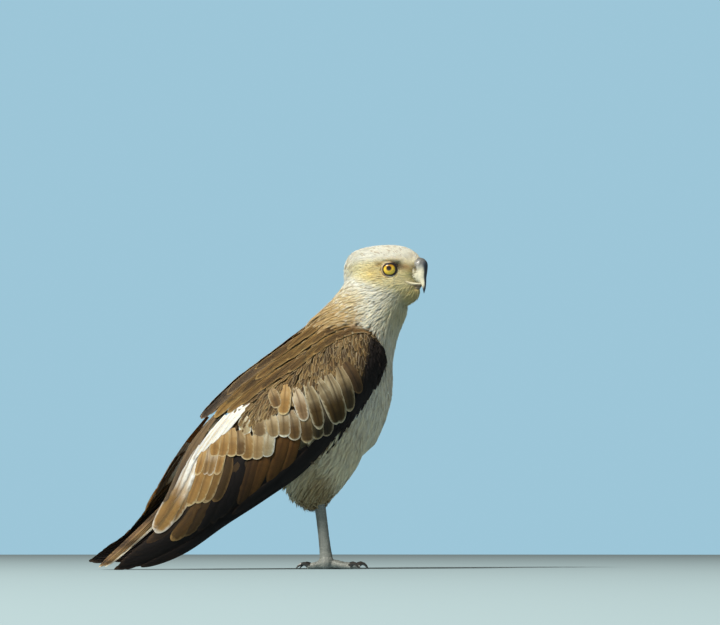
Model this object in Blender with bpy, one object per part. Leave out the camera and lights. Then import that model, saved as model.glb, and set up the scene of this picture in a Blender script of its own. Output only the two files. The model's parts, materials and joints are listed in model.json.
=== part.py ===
"""A short-toed snake eagle at life size, standing at rest with its head turned to its right.

Metres, +Z up, +X from the tail to the breast, +Y to the bird's left. The bird stands on z = 0: the
pads of both feet, the tip of the tail and the tip of the right wing end in small flats at that level.
Each part of the body is one closed solid, out to the tips of its feathers. Where two parts meet, the
second is cut by a copy of the first that is grown by GAP. The origin is under the middle of the bird.
"""

import math

import bmesh
import bpy
import numpy as np
from mathutils import Matrix, Vector

# Driving dimensions
GAP = 0.0003  # clearance between solids that meet
LEG_SPREAD = 0.035  # from the middle plane to each foot
STRIDE = 0.0127  # the left foot stands this far in front of the middle, the right foot behind it
TARSUS_TOP = 0.085  # height at which the bare leg comes out of the feathers
HEAD_CENTRE = (0.0775, -0.012, 0.397)
HEAD_TURN = -50  # degrees about Z, to the bird's right
EYE_RADIUS = 0.012
EYE_SIGHT = 65  # degrees from straight ahead to the line of sight
EYE_APEX = (0.0255, 0.0300, 0.006)  # foremost point of the left eye, in the head's frame
LEFT_WING_LIFT = 0.010  # the left wing's tip lies this much higher than the right one's
SIDES = {"left": 1, "right": -1}

# Sections of the body down the spine: upper x and z, lower x and z, half width, y
NECK = (
    (0.0400, 0.4060, 0.1110, 0.3640, 0.037, -0.009),
    (0.0280, 0.3890, 0.1110, 0.3430, 0.042, -0.006),
    (0.0080, 0.3620, 0.0985, 0.3120, 0.048, -0.003),
    (-0.0220, 0.3340, 0.0915, 0.2760, 0.057, 0.0),
)
TRUNK = (
    (-0.0220, 0.3340, 0.0915, 0.2760, 0.057, 0.0),
    (-0.0480, 0.2990, 0.0885, 0.2230, 0.067, 0.0),
    (-0.0710, 0.2710, 0.0580, 0.1560, 0.070, 0.0),
    (-0.1000, 0.2400, -0.0100, 0.1290, 0.065, 0.0),
    (-0.1310, 0.2050, -0.0800, 0.1320, 0.052, 0.0),
    (-0.1540, 0.1700, -0.1280, 0.1300, 0.037, 0.0),
)
TAIL = (
    (-0.1546, 0.1691, -0.1288, 0.1294, 0.0365, 0.0),
    (-0.1830, 0.1320, -0.1660, 0.1110, 0.034, 0.0),
    (-0.2170, 0.0960, -0.2070, 0.0830, 0.034, 0.0),
    (-0.2590, 0.0545, -0.2530, 0.0465, 0.036, 0.0),
    (-0.2935, 0.0225, -0.2895, 0.0170, 0.038, 0.0),
    (-0.3140, 0.0040, -0.3120, -0.0005, 0.034, 0.0),
)

# Sections of the head, back to front, in its own frame: x, top z, bottom z, half width
HEAD = (
    (-0.0545, 0.0160, -0.0040, 0.0060),
    (-0.0520, 0.0255, -0.0180, 0.0170),
    (-0.0440, 0.0335, -0.0340, 0.0280),
    (-0.0300, 0.0385, -0.0430, 0.0350),
    (-0.0120, 0.0405, -0.0460, 0.0370),
    (0.0060, 0.0410, -0.0465, 0.0350),
    (0.0200, 0.0402, -0.0455, 0.0305),
    (0.0320, 0.0378, -0.0430, 0.0240),
    (0.0420, 0.0338, -0.0400, 0.0165),
    (0.0500, 0.0285, -0.0355, 0.0105),
    (0.0550, 0.0240, -0.0300, 0.0062),
    (0.0570, 0.0185, -0.0240, 0.0028),
)
# Sections of the bill, base to tip, in the head's frame: upper x and z, lower x and z, half width
BILL_UPPER = (
    (0.0400, 0.0195, 0.0360, -0.0130, 0.0095),
    (0.0520, 0.0210, 0.0445, -0.0140, 0.0102),
    (0.0610, 0.0200, 0.0510, -0.0145, 0.0094),
    (0.0668, 0.0148, 0.0558, -0.0152, 0.0076),
    (0.0672, 0.0070, 0.0584, -0.0162, 0.0058),
    (0.0658, -0.0040, 0.0598, -0.0178, 0.0042),
    (0.0658, -0.0130, 0.0608, -0.0205, 0.0029),
    (0.0650, -0.0205, 0.0616, -0.0240, 0.0018),
    (0.0630, -0.0275, 0.0625, -0.0271, 0.0005),
)
BILL_LOWER = (
    (0.0360, -0.0120, 0.0360, -0.0240, 0.0095),
    (0.0440, -0.0130, 0.0450, -0.0250, 0.0085),
    (0.0520, -0.0135, 0.0530, -0.0235, 0.0060),
    (0.0570, -0.0145, 0.0572, -0.0195, 0.0030),
)

# Sections of the left wing, wrist to tip: the upper edge, the lower edge (each x, y, z), the swell
# outwards between them, and the thickness
WING = (
    ((0.046, 0.048, 0.316), (0.061, 0.064, 0.288), 0.010, 0.004),
    ((0.018, 0.016, 0.338), (0.056, 0.070, 0.260), 0.062, 0.015),
    ((-0.018, 0.008, 0.332), (0.034, 0.074, 0.226), 0.088, 0.021),
    ((-0.064, 0.007, 0.298), (-0.003, 0.072, 0.178), 0.095, 0.021),
    ((-0.116, 0.007, 0.257), (-0.055, 0.067, 0.125), 0.086, 0.017),
    ((-0.163, 0.010, 0.206), (-0.112, 0.062, 0.089), 0.064, 0.012),
    ((-0.200, 0.022, 0.156), (-0.162, 0.060, 0.060), 0.050, 0.009),
    ((-0.228, 0.040, 0.101), (-0.211, 0.060, 0.029), 0.026, 0.006),
    ((-0.260, 0.053, 0.052), (-0.253, 0.061, 0.011), 0.010, 0.004),
    ((-0.292, 0.060, 0.028), (-0.290, 0.063, 0.001), 0.003, 0.003),
    ((-0.310, 0.064, 0.008), (-0.311, 0.066, -0.001), 0.000, 0.002),
)
# The wing's three parts as shares of its length (wrist 0, tip 1) and of its width (upper edge 0, lower edge 1)
ARM_END = 0.38
SECONDARIES_END = 0.68
PRIMARIES_FROM = 0.62
LENGTH_CUT = 0.0008  # share of the length left between two parts
WIDTH_CUT = 0.003  # share of the width left between two parts
WING_MARGIN = 0.004  # shares of length and width by which the room for a wing goes past its edges
WING_EDGE_SHARE = 0.18  # thickness at the wing's edges, as a share of that at its middle

# Sections of the feathered thigh from the foot: back x and z, front x and z, half width, outward y
THIGH = (
    (-0.0300, 0.2150, 0.0600, 0.1950, 0.0280, 0.005),
    (-0.0400, 0.1800, 0.0550, 0.1650, 0.0300, 0.005),
    (-0.0530, 0.1460, 0.0420, 0.1350, 0.0280, 0.004),
    (-0.0600, 0.1180, 0.0260, 0.1140, 0.0240, 0.002),
    (-0.0500, 0.0990, 0.0125, 0.0995, 0.0190, 0.001),
    (-0.0340, 0.0875, 0.0030, 0.0905, 0.0120, 0.000),
    (-0.0175, 0.0810, -0.0015, 0.0835, 0.0085, 0.000),
)
# Sections of the tarsus: x, y, z, half depth, half width
TARSUS = (
    (-0.0120, 0.0, 0.100, 0.0060, 0.0055),
    (-0.0090, 0.0, TARSUS_TOP, 0.0076, 0.0064),
    (-0.0050, 0.0, 0.055, 0.0070, 0.0058),
    (-0.0015, 0.0, 0.026, 0.0078, 0.0066),
    (0.0000, 0.0, 0.015, 0.0085, 0.0080),
)
# Each toe: degrees from straight ahead (outwards positive), length, radius at its root, claw length
TOES = {
    "inner": (-38, 0.034, 0.0062, 0.021),
    "middle": (2, 0.047, 0.0060, 0.019),
    "outer": (36, 0.036, 0.0055, 0.016),
    "hind": (188, 0.026, 0.0062, 0.022),
}
PAD_RADIUS = 0.0105
PAD_HEIGHT = 0.0088  # of the middle of the pad over the floor

RING = 22  # points round a body section
COLOURS = {
    "white_feathers": (0.83, 0.78, 0.66),
    "brown_feathers": (0.24, 0.14, 0.07),
    "dark_feathers": (0.05, 0.035, 0.028),
    "bill_horn": (0.30, 0.32, 0.34),
    "claw_horn": (0.035, 0.033, 0.032),
    "leg_scales": (0.36, 0.38, 0.36),
    "eye": (0.80, 0.48, 0.03),
}
ROUGHNESS = {"eye": 0.05, "bill_horn": 0.35, "claw_horn": 0.3, "leg_scales": 0.6}


def clear_scene():
    for obj in list(bpy.data.objects):
        bpy.data.objects.remove(obj)


def collection(name):
    made = bpy.data.collections.new(name)
    bpy.context.scene.collection.children.link(made)
    return made


def material(name):
    made = bpy.data.materials.get(name)
    if made is None:
        made = bpy.data.materials.new(name)
        made.use_nodes = True
        shader = made.node_tree.nodes["Principled BSDF"]
        shader.inputs["Base Color"].default_value = (*COLOURS[name], 1)
        shader.inputs["Roughness"].default_value = ROUGHNESS.get(name, 0.8)
        shader.inputs["Metallic"].default_value = 0
    return made


def through(rows, count):
    """A smooth curve through the rows, as count rows at even steps (a Catmull-Rom spline)."""
    rows = np.asarray(rows, float)
    padded = np.vstack([2 * rows[0] - rows[1], rows, 2 * rows[-1] - rows[-2]])
    at = np.linspace(0, len(rows) - 1, count)
    return spline_at(padded, at)


def spline_at(padded, at):
    last = len(padded) - 4
    first = np.minimum(at.astype(int), last)
    t = (at - first)[:, None]
    p0, p1, p2, p3 = (padded[first + k] for k in range(4))
    return 0.5 * (
        2 * p1
        + (p2 - p0) * t
        + (2 * p0 - 5 * p1 + 4 * p2 - p3) * t**2
        + (3 * p1 - p0 - 3 * p2 + p3) * t**3
    )


def object_from(name, bm, skin, group):
    bmesh.ops.recalc_face_normals(bm, faces=bm.faces)
    mesh = bpy.data.meshes.new(name)
    bm.to_mesh(mesh)
    bm.free()
    mesh.materials.append(material(skin))
    mesh.shade_smooth()
    mesh.set_sharp_from_angle(angle=math.radians(50))
    obj = bpy.data.objects.new(name, mesh)
    group.objects.link(obj)
    return obj


def loft(name, rings, skin, group):
    """A closed solid through the rings, which hold the same number of points each."""
    bm = bmesh.new()
    made = [[bm.verts.new(p) for p in ring] for ring in rings]
    count = len(made[0])
    for near, far in zip(made, made[1:]):
        for k in range(count):
            after = (k + 1) % count
            bm.faces.new((near[k], near[after], far[after]))
            bm.faces.new((near[k], far[after], far[k]))
    bm.faces.new(made[0])
    bm.faces.new(reversed(made[-1]))
    return object_from(name, bm, skin, group)


def ellipse(count, power=2.0):
    """Points round a superellipse of half size 1: across, and up."""
    turn = np.linspace(0, 2 * math.pi, count, endpoint=False)
    across, up = np.sin(turn), np.cos(turn)
    return (
        np.sign(across) * np.abs(across) ** (2 / power),
        np.sign(up) * np.abs(up) ** (2 / power),
    )


def spine_rings(rows, count, ring=RING, grow=0.0):
    """Elliptical sections square to a curved axis, each (x, y, z, half depth, half width)."""
    rows = through(rows, count)
    centres = rows[:, :3]
    along = np.gradient(centres, axis=0)
    along /= np.linalg.norm(along, axis=1)[:, None]
    across, up = ellipse(ring)
    rings = []
    for centre, axis, depth, width in zip(centres, along, rows[:, 3], rows[:, 4]):
        side = np.cross((axis[2], 0, -axis[0]), axis)
        side /= np.linalg.norm(side)
        rise = np.cross(side, axis)
        rings.append(
            centre
            + np.outer(across * (width + grow), side)
            + np.outer(up * (depth + grow), rise)
        )
    return grown_ends(rings, along, grow)


def paired_rings(rows, count, ring=RING, grow=0.0):
    """Elliptical sections between an upper and a lower outline that lie in the middle plane."""
    rows = through(rows, count)
    across, up = ellipse(ring)
    rings, along = [], []
    for upper_x, upper_z, lower_x, lower_z, width, y in rows:
        centre = np.array(((upper_x + lower_x) / 2, y, (upper_z + lower_z) / 2))
        rise = np.array(((upper_x - lower_x) / 2, 0.0, (upper_z - lower_z) / 2))
        depth = np.linalg.norm(rise)
        rise /= depth
        rings.append(
            centre
            + np.outer(across * (width + grow), (0.0, 1.0, 0.0))
            + np.outer(up * (depth + grow), rise)
        )
        along.append(np.array((rise[2], 0.0, -rise[0])))
    if np.dot(rings[-1].mean(0) - rings[0].mean(0), along[0]) < 0:
        along = [-axis for axis in along]
    return grown_ends(rings, along, grow)


def grown_ends(rings, along, grow):
    """Moves the first and last ring outwards along the axis, so that a cutter reaches past the ends."""
    rings[0] = rings[0] - along[0] * grow
    rings[-1] = rings[-1] + along[-1] * grow
    return rings


def cutter_of(name, rings, cutters):
    cutter = loft(name, rings, "white_feathers", cutters)
    return as_cutter(cutter)


def as_cutter(cutter):
    cutter.hide_render = True
    cutter.display_type = "WIRE"
    return cutter


def combine(obj, other, operation="DIFFERENCE"):
    boolean = obj.modifiers.new(f"{operation.lower()}_{other.name}", "BOOLEAN")
    boolean.operation = operation
    boolean.object = other
    boolean.solver = "EXACT"


def head_matrix():
    return Matrix.Translation(HEAD_CENTRE) @ Matrix.Rotation(math.radians(HEAD_TURN), 4, "Z")


def eye_centre(side):
    sight = math.radians(EYE_SIGHT)
    x, y, z = EYE_APEX
    return Vector((
        x - EYE_RADIUS * math.cos(sight),
        side * (y - EYE_RADIUS * math.sin(sight)),
        z,
    ))


def head_rings(grow=0.0):
    """The head's sections, with a brow that juts out over each eye and a hollow round the eye."""
    brow_size, brow_at, brow_reach = 0.0035, (0.022, 0.0205), (0.014, 0.0055)
    hollow_size, hollow_reach = 0.0050, 0.0125
    across, up = ellipse(24, 2.25)
    rings = []
    for x, top, bottom, width in through(HEAD, 15):
        z = (top + bottom) / 2 + up * ((top - bottom) / 2 + grow)
        y = across * (width + grow)
        outwards = np.sign(y) * np.minimum(1, np.abs(y) / 0.015)
        brow = np.exp(-(((x - brow_at[0]) / brow_reach[0]) ** 2) - ((z - brow_at[1]) / brow_reach[1]) ** 2)
        hollow = np.exp(-((x - EYE_APEX[0]) ** 2 + (z - EYE_APEX[2]) ** 2) / hollow_reach**2)
        y = y + outwards * (brow_size * brow - hollow_size * hollow)
        rings.append(np.column_stack([np.full_like(y, x), y, z]))
    along = np.array([(1.0, 0, 0)] * len(rings))
    return grown_ends(rings, along, grow)


def bill_rings(rows, count, grow=0.0):
    return paired_rings([(*row, 0.0) for row in rows], count, 14, grow)


def sphere(name, radius, place, skin, group, turns=14):
    bm = bmesh.new()
    bmesh.ops.create_uvsphere(bm, u_segments=turns, v_segments=turns * 2 // 3, radius=radius)
    obj = object_from(name, bm, skin, group)
    obj.location = place
    return obj


def make_head(parts, cutters):
    """Head, bill and eyes. They are modelled looking along +X and turned as one."""
    frame = bpy.data.objects.new("head_frame", None)
    parts.objects.link(frame)
    frame.matrix_world = head_matrix()
    head = loft("head", head_rings(), "white_feathers", parts)
    upper = loft("bill_upper", bill_rings(BILL_UPPER, 11), "bill_horn", parts)
    lower = loft("bill_lower", bill_rings(BILL_LOWER, 6), "bill_horn", parts)
    upper_space = cutter_of("bill_upper_space", bill_rings(BILL_UPPER, 11, GAP), cutters)
    lower_space = cutter_of("bill_lower_space", bill_rings(BILL_LOWER, 6, GAP), cutters)
    combine(lower, upper_space)
    for cutter in (upper_space, lower_space):
        combine(head, cutter)
    turned = [head, upper, lower, upper_space, lower_space]
    for word, side in SIDES.items():
        place = eye_centre(side)
        turned.append(sphere(f"eye_{word}", EYE_RADIUS, place, "eye", parts))
        socket = as_cutter(sphere(f"socket_{word}", EYE_RADIUS + 2 * GAP, place, "eye", cutters))
        combine(head, socket)
        turned.append(socket)
    for obj in turned:
        obj.parent = frame
    return frame


def wing_rows(side):
    rows = np.array([(*upper, *lower, swell, thick) for upper, lower, swell, thick in WING])
    rows[:, [1, 4]] *= side
    if side == SIDES["left"]:
        share = np.linspace(0, 1, len(rows)) ** 3
        rows[:, 2] += LEFT_WING_LIFT * share
        rows[:, 5] += LEFT_WING_LIFT * share
    return rows


class WingSurface:
    """The outer face of a folded wing: a point and its outward normal at each share of length and width."""

    def __init__(self, side):
        self.side = side
        rows = wing_rows(side)
        self.padded = np.vstack([2 * rows[0] - rows[1], rows, 2 * rows[-1] - rows[-2]])
        self.spans = len(rows) - 1

    def place(self, length, width):
        row = spline_at(self.padded, np.array([length * self.spans]))[0]
        upper, lower, swell = row[:3], row[3:6], row[6]
        control = (upper + lower) / 2 + (0, self.side * swell, 0)
        return (1 - width) ** 2 * upper + 2 * width * (1 - width) * control + width**2 * lower

    def normal(self, length, width, step=0.01):
        low, high = length - step, length + step
        near, far = width - step, width + step
        along = self.place(high, width) - self.place(low, width)
        down = self.place(length, far) - self.place(length, near)
        normal = np.cross(down, along) * self.side
        return normal / np.linalg.norm(normal)

    def thickness(self, length, width):
        thick = spline_at(self.padded, np.array([length * self.spans]))[0][7]
        middle = max(0.0, math.sin(math.pi * width)) ** 0.7
        return thick * (WING_EDGE_SHARE + (1 - WING_EDGE_SHARE) * middle)


def wing_shell(name, surface, lengths, widths, kept, group, grow=0.0, skin="brown_feathers"):
    """A solid of the wing between its outer face and its inner one, over the cells that kept() takes."""
    bm = bmesh.new()
    outer, inner = {}, {}

    def corner(i, j):
        if (i, j) not in outer:
            place = surface.place(lengths[i], widths[j])
            normal = surface.normal(lengths[i], widths[j])
            depth = surface.thickness(lengths[i], widths[j]) + grow
            outer[i, j] = bm.verts.new(place + normal * grow)
            inner[i, j] = bm.verts.new(place - normal * depth)
        return i, j

    cells = [
        (i, j)
        for i in range(len(lengths) - 1)
        for j in range(len(widths) - 1)
        if kept(i, j)
    ]
    for i, j in cells:
        loop = [corner(i, j), corner(i, j + 1), corner(i + 1, j + 1), corner(i + 1, j)]
        for a, b, c in (loop[:3], loop[2:] + loop[:1]):
            bm.faces.new((outer[a], outer[b], outer[c]))
            bm.faces.new((inner[c], inner[b], inner[a]))
        neighbours = [(i - 1, j), (i, j + 1), (i + 1, j), (i, j - 1)]
        for near, far, other in zip(loop, loop[1:] + loop[:1], neighbours):
            if other not in cells:
                first, last = sorted((near, far))
                bm.faces.new((outer[first], outer[last], inner[last]))
                bm.faces.new((outer[first], inner[last], inner[first]))
    return object_from(name, bm, skin, group)


def make_wing(word, side, parts, cutters, clearances):
    """A folded wing in three parts: the arm under its coverts, the secondaries, and the primaries."""
    surface = WingSurface(side)
    cut, slit = LENGTH_CUT / 2, WIDTH_CUT / 2
    split = list(np.linspace(0, PRIMARIES_FROM - slit, 7))
    lower = list(np.linspace(PRIMARIES_FROM + slit, 1, 4))
    arm = list(np.linspace(0, ARM_END - cut, 9))
    middle = list(np.linspace(ARM_END + cut, SECONDARIES_END - cut, 6))
    end = list(np.linspace(SECONDARIES_END + cut, 1, 7))
    widths = split + lower
    whole = lambda i, j: True
    in_primaries = lambda i, j: i >= len(middle) or j >= len(split)
    made = [
        wing_shell(f"wing_{word}_arm", surface, arm, widths, whole, parts),
        wing_shell(f"wing_{word}_secondaries", surface, middle, split, whole, parts),
        wing_shell(
            f"wing_{word}_primaries", surface, middle + end, widths, in_primaries, parts,
            skin="dark_feathers",
        ),
    ]
    for part in made:
        for cutter in clearances:
            combine(part, cutter)
    past_length = [-WING_MARGIN] + arm[1:] + middle + end[:-1] + [1 + WING_MARGIN]
    past_width = [-WING_MARGIN] + widths[1:-1] + [1 + WING_MARGIN]
    space = wing_shell(f"wing_{word}_space", surface, past_length, past_width, whole, cutters, GAP)
    return made, as_cutter(space)


def thigh_rows(side):
    """The thigh's sections, moved from the foot's frame to where the foot stands."""
    moved = np.array(THIGH)
    moved[:, [0, 2]] += STRIDE * side
    moved[:, 5] = side * (moved[:, 5] + LEG_SPREAD)
    return moved


def toe_rows(angle, length, radius, side):
    """A toe with a swollen pad under each joint, lying along the floor."""
    joints, points, height = 3, 7, 0.0048
    share = np.linspace(0, 1, points)
    turn = math.radians(angle) * side
    heading = np.array((math.cos(turn), math.sin(turn), 0))
    swell = 1 + 0.10 * np.cos(share * joints * 2 * math.pi)
    depth = radius * (1 - 0.38 * share) * swell
    rows = np.zeros((points, 5))
    rows[:, :3] = np.outer(share * length, heading)
    rows[:, 2] = height + 0.0045 * (1 - share) ** 2 - 0.0012 * share
    rows[:, 3] = rows[:, 4] = depth
    return rows


def claw_rows(angle, toe_length, claw_length, side):
    """A claw that comes out of the end of its toe, rises and curves down to the floor."""
    points, inside = 8, 0.003
    share = np.linspace(0, 1, points)
    turn = math.radians(angle) * side
    heading = np.array((math.cos(turn), math.sin(turn), 0))
    rows = np.zeros((points, 5))
    rows[:, :3] = np.outer(toe_length - inside + share * claw_length * 0.82, heading)
    rows[:, 2] = 0.0042 + 0.0042 * np.sin(math.pi * share) - 0.0036 * share**2
    rows[:, 3] = 0.0030 * (1 - share) ** 0.7 + 0.0004
    rows[:, 4] = 0.0024 * (1 - share) ** 0.7 + 0.0004
    return rows


def make_foot(word, side, parts, cutters, floor, tarsus_space):
    """A foot of four toes joined at the pad, and its four claws."""
    stand = np.array((STRIDE * side, LEG_SPREAD * side, 0, 0, 0))
    place = (*stand[:2], PAD_HEIGHT)
    pad = sphere(f"foot_{word}", PAD_RADIUS, place, "leg_scales", parts, 10)
    claw_spaces = []
    for toe, (angle, length, radius, claw_length) in TOES.items():
        rows = toe_rows(angle, length, radius, side) + stand
        joined = as_cutter(
            loft(f"toe_{word}_{toe}", spine_rings(rows, 7, 7), "leg_scales", cutters)
        )
        combine(pad, joined, "UNION")
        path = claw_rows(angle, length, claw_length, side) + stand
        claw = loft(f"claw_{word}_{toe}", spine_rings(path, 6, 7), "claw_horn", parts)
        combine(claw, floor)
        claw_spaces.append(
            cutter_of(f"claw_{word}_{toe}_space", spine_rings(path, 6, 7, GAP), cutters)
        )
    for cutter in [floor, tarsus_space] + claw_spaces:
        combine(pad, cutter)


def make_leg(word, side, parts, cutters, floor, clearances):
    tarsus_rows = np.array(TARSUS) + (STRIDE * side, LEG_SPREAD * side, 0, 0, 0)
    thigh = loft(f"thigh_{word}", paired_rings(thigh_rows(side), 10, 16), "white_feathers", parts)
    tarsus = loft(f"tarsus_{word}", spine_rings(tarsus_rows, 6, 12), "leg_scales", parts)
    tarsus_space = cutter_of(f"tarsus_{word}_space", spine_rings(tarsus_rows, 6, 12, GAP), cutters)
    for cutter in clearances:
        combine(thigh, cutter)
    combine(thigh, tarsus_space)
    make_foot(word, side, parts, cutters, floor, tarsus_space)


def floor_cutter(cutters):
    """A block whose top is the level that the bird stands on."""
    size, depth = 1.2, 0.1
    bm = bmesh.new()
    bmesh.ops.create_cube(bm, size=1)
    bmesh.ops.scale(bm, vec=(size, size, depth), verts=bm.verts)
    bmesh.ops.translate(bm, vec=(0, 0, -depth / 2), verts=bm.verts)
    return as_cutter(object_from("floor_cutter", bm, "white_feathers", cutters))


def centre_over_origin():
    """Moves everything so that the origin is under the middle of the bird's box."""
    bpy.context.view_layer.update()
    graph = bpy.context.evaluated_depsgraph_get()
    points = []
    for obj in bpy.data.objects:
        if obj.type == "MESH" and not obj.hide_render:
            shown = obj.evaluated_get(graph)
            points += [shown.matrix_world @ vert.co for vert in shown.to_mesh().vertices]
            shown.to_mesh_clear()
    points = np.array(points)
    middle = (points.min(0) + points.max(0)) / 2
    root = bpy.data.objects.new("eagle_root", None)
    bpy.context.scene.collection.objects.link(root)
    for obj in bpy.data.objects:
        if obj.parent is None and obj is not root:
            obj.parent = root
    root.location = (-middle[0], -middle[1], 0)


def main():
    clear_scene()
    parts, cutters = collection("eagle"), collection("cutters")
    floor = floor_cutter(cutters)
    head_frame = make_head(parts, cutters)
    head_space = cutter_of("head_space", head_rings(GAP), cutters)
    head_space.parent = head_frame
    neck_rings, trunk_rings = paired_rings(NECK, 7), paired_rings(TRUNK, 12)
    neck = loft("neck", neck_rings, "white_feathers", parts)
    trunk = loft("trunk", trunk_rings, "white_feathers", parts)
    neck_space = cutter_of("neck_space", paired_rings(NECK, 7, grow=GAP), cutters)
    trunk_space = cutter_of("trunk_space", paired_rings(TRUNK, 12, grow=GAP), cutters)
    combine(neck, trunk_space)
    combine(neck, head_space)
    combine(trunk, head_space)
    tail = loft("tail", paired_rings(TAIL, 10, 16), "brown_feathers", parts)
    combine(tail, trunk_space)
    combine(tail, floor)
    for word, side in SIDES.items():
        body = [trunk_space, neck_space, head_space]
        wing, wing_space = make_wing(word, side, parts, cutters, body)
        combine(wing[2], floor)
        combine(tail, wing_space)
        make_leg(word, side, parts, cutters, floor, [trunk_space, wing_space])
    centre_over_origin()


main()
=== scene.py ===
"""The looks of the short-toed snake eagle: one skin, its plumage as thin solid vanes, its head and feet.

Everything is in metres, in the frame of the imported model: +X towards the breast, +Y to the bird's
left, +Z up, with the floor at z = 0. A body vane grows from the skin and its tip ends at the outline
of the solids. A wing or tail vane lies on the curved face of the folded wing or tail.
"""

import itertools
import json
import math

import bmesh
import bpy
import numpy as np
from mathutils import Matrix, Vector
from mathutils.bvhtree import BVHTree
from mathutils.kdtree import KDTree


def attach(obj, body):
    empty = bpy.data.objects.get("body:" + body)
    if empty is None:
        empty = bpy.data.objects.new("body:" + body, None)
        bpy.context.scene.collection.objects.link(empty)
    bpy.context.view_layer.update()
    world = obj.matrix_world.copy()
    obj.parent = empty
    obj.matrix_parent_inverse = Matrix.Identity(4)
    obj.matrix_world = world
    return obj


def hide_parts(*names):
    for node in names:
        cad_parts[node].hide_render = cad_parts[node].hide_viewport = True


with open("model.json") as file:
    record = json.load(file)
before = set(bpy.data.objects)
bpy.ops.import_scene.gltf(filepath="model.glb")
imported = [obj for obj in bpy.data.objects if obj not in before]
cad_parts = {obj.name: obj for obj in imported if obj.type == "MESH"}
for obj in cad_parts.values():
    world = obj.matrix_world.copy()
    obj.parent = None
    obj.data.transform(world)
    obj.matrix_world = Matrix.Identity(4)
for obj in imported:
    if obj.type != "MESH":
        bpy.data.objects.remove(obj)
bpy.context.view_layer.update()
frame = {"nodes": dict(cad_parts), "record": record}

MM = 0.001
SEED = 7
SIDES = {"left": 1, "right": -1}

# The layout of the solids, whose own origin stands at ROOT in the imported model
STRIDE = 0.0127
LEG_SPREAD = 0.035
MOUNTS = {mount["name"]: mount["pos_m"] for mount in frame["record"]["mounts"]}
ROOT = np.array((MOUNTS["left_sole"][0] - STRIDE, 0.0, 0.0))
HEAD_CENTRE = ROOT + (0.0775, -0.012, 0.397)
HEAD_TURN = math.radians(-50)
EYE_RADIUS = 0.012
EYE_SIGHT = math.radians(65)
EYE_APEX = (0.0255, 0.0300, 0.006)
# How much higher the tip of the left wing lies
LEFT_WING_LIFT = 0.010

# Sections down the spine: upper x and z, lower x and z, half width, y
SPINE = (
    (0.0400, 0.4060, 0.1110, 0.3640, 0.037, -0.009),
    (0.0280, 0.3890, 0.1110, 0.3430, 0.042, -0.006),
    (0.0080, 0.3620, 0.0985, 0.3120, 0.048, -0.003),
    (-0.0220, 0.3340, 0.0915, 0.2760, 0.057, 0.0),
    (-0.0480, 0.2990, 0.0885, 0.2230, 0.067, 0.0),
    (-0.0710, 0.2710, 0.0580, 0.1560, 0.070, 0.0),
    (-0.1000, 0.2400, -0.0100, 0.1290, 0.065, 0.0),
    (-0.1310, 0.2050, -0.0800, 0.1320, 0.052, 0.0),
    (-0.1540, 0.1700, -0.1280, 0.1300, 0.037, 0.0),
)
TAIL = (
    (-0.1546, 0.1691, -0.1288, 0.1294, 0.0365, 0.0),
    (-0.1830, 0.1320, -0.1660, 0.1110, 0.034, 0.0),
    (-0.2170, 0.0960, -0.2070, 0.0830, 0.034, 0.0),
    (-0.2590, 0.0545, -0.2530, 0.0465, 0.036, 0.0),
    (-0.2935, 0.0225, -0.2895, 0.0170, 0.038, 0.0),
    (-0.3140, 0.0040, -0.3120, -0.0005, 0.034, 0.0),
)
# Sections of the left wing, wrist to tip: upper edge, lower edge (each x, y, z), swell
WING = (
    ((0.046, 0.048, 0.316), (0.061, 0.064, 0.288), 0.010),
    ((0.018, 0.016, 0.338), (0.056, 0.070, 0.260), 0.062),
    ((-0.018, 0.008, 0.332), (0.034, 0.074, 0.226), 0.088),
    ((-0.064, 0.007, 0.298), (-0.003, 0.072, 0.178), 0.095),
    ((-0.116, 0.007, 0.257), (-0.055, 0.067, 0.125), 0.086),
    ((-0.163, 0.010, 0.206), (-0.112, 0.062, 0.089), 0.064),
    ((-0.200, 0.022, 0.156), (-0.162, 0.060, 0.060), 0.050),
    ((-0.228, 0.040, 0.101), (-0.211, 0.060, 0.029), 0.026),
    ((-0.260, 0.053, 0.052), (-0.253, 0.061, 0.011), 0.010),
    ((-0.292, 0.060, 0.028), (-0.290, 0.063, 0.001), 0.003),
    ((-0.310, 0.064, 0.008), (-0.311, 0.066, -0.001), 0.000),
)
# Sections of the bill, base to tip, in the head's frame: upper x and z, lower x and z, half width
BILL_UPPER = (
    (0.0400, 0.0195, 0.0360, -0.0130, 0.0095),
    (0.0520, 0.0210, 0.0445, -0.0140, 0.0102),
    (0.0610, 0.0200, 0.0510, -0.0145, 0.0094),
    (0.0668, 0.0148, 0.0558, -0.0152, 0.0076),
    (0.0672, 0.0070, 0.0584, -0.0162, 0.0058),
    (0.0658, -0.0040, 0.0598, -0.0178, 0.0042),
    (0.0658, -0.0130, 0.0608, -0.0205, 0.0029),
    (0.0650, -0.0205, 0.0616, -0.0240, 0.0018),
    (0.0630, -0.0275, 0.0625, -0.0271, 0.0005),
)
BILL_LOWER = (
    (0.0360, -0.0120, 0.0360, -0.0240, 0.0095),
    (0.0440, -0.0130, 0.0450, -0.0250, 0.0085),
    (0.0520, -0.0135, 0.0530, -0.0235, 0.0060),
    (0.0570, -0.0145, 0.0572, -0.0195, 0.0030),
)
# The middle line of the left thigh, from its foot: x, y outwards, z
THIGH_LINE = (
    (0.0150, 0.005, 0.205),
    (0.0075, 0.005, 0.1725),
    (-0.0055, 0.004, 0.1405),
    (-0.0170, 0.002, 0.116),
    (-0.0190, 0.001, 0.099),
    (-0.0150, 0.000, 0.086),
)

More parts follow.
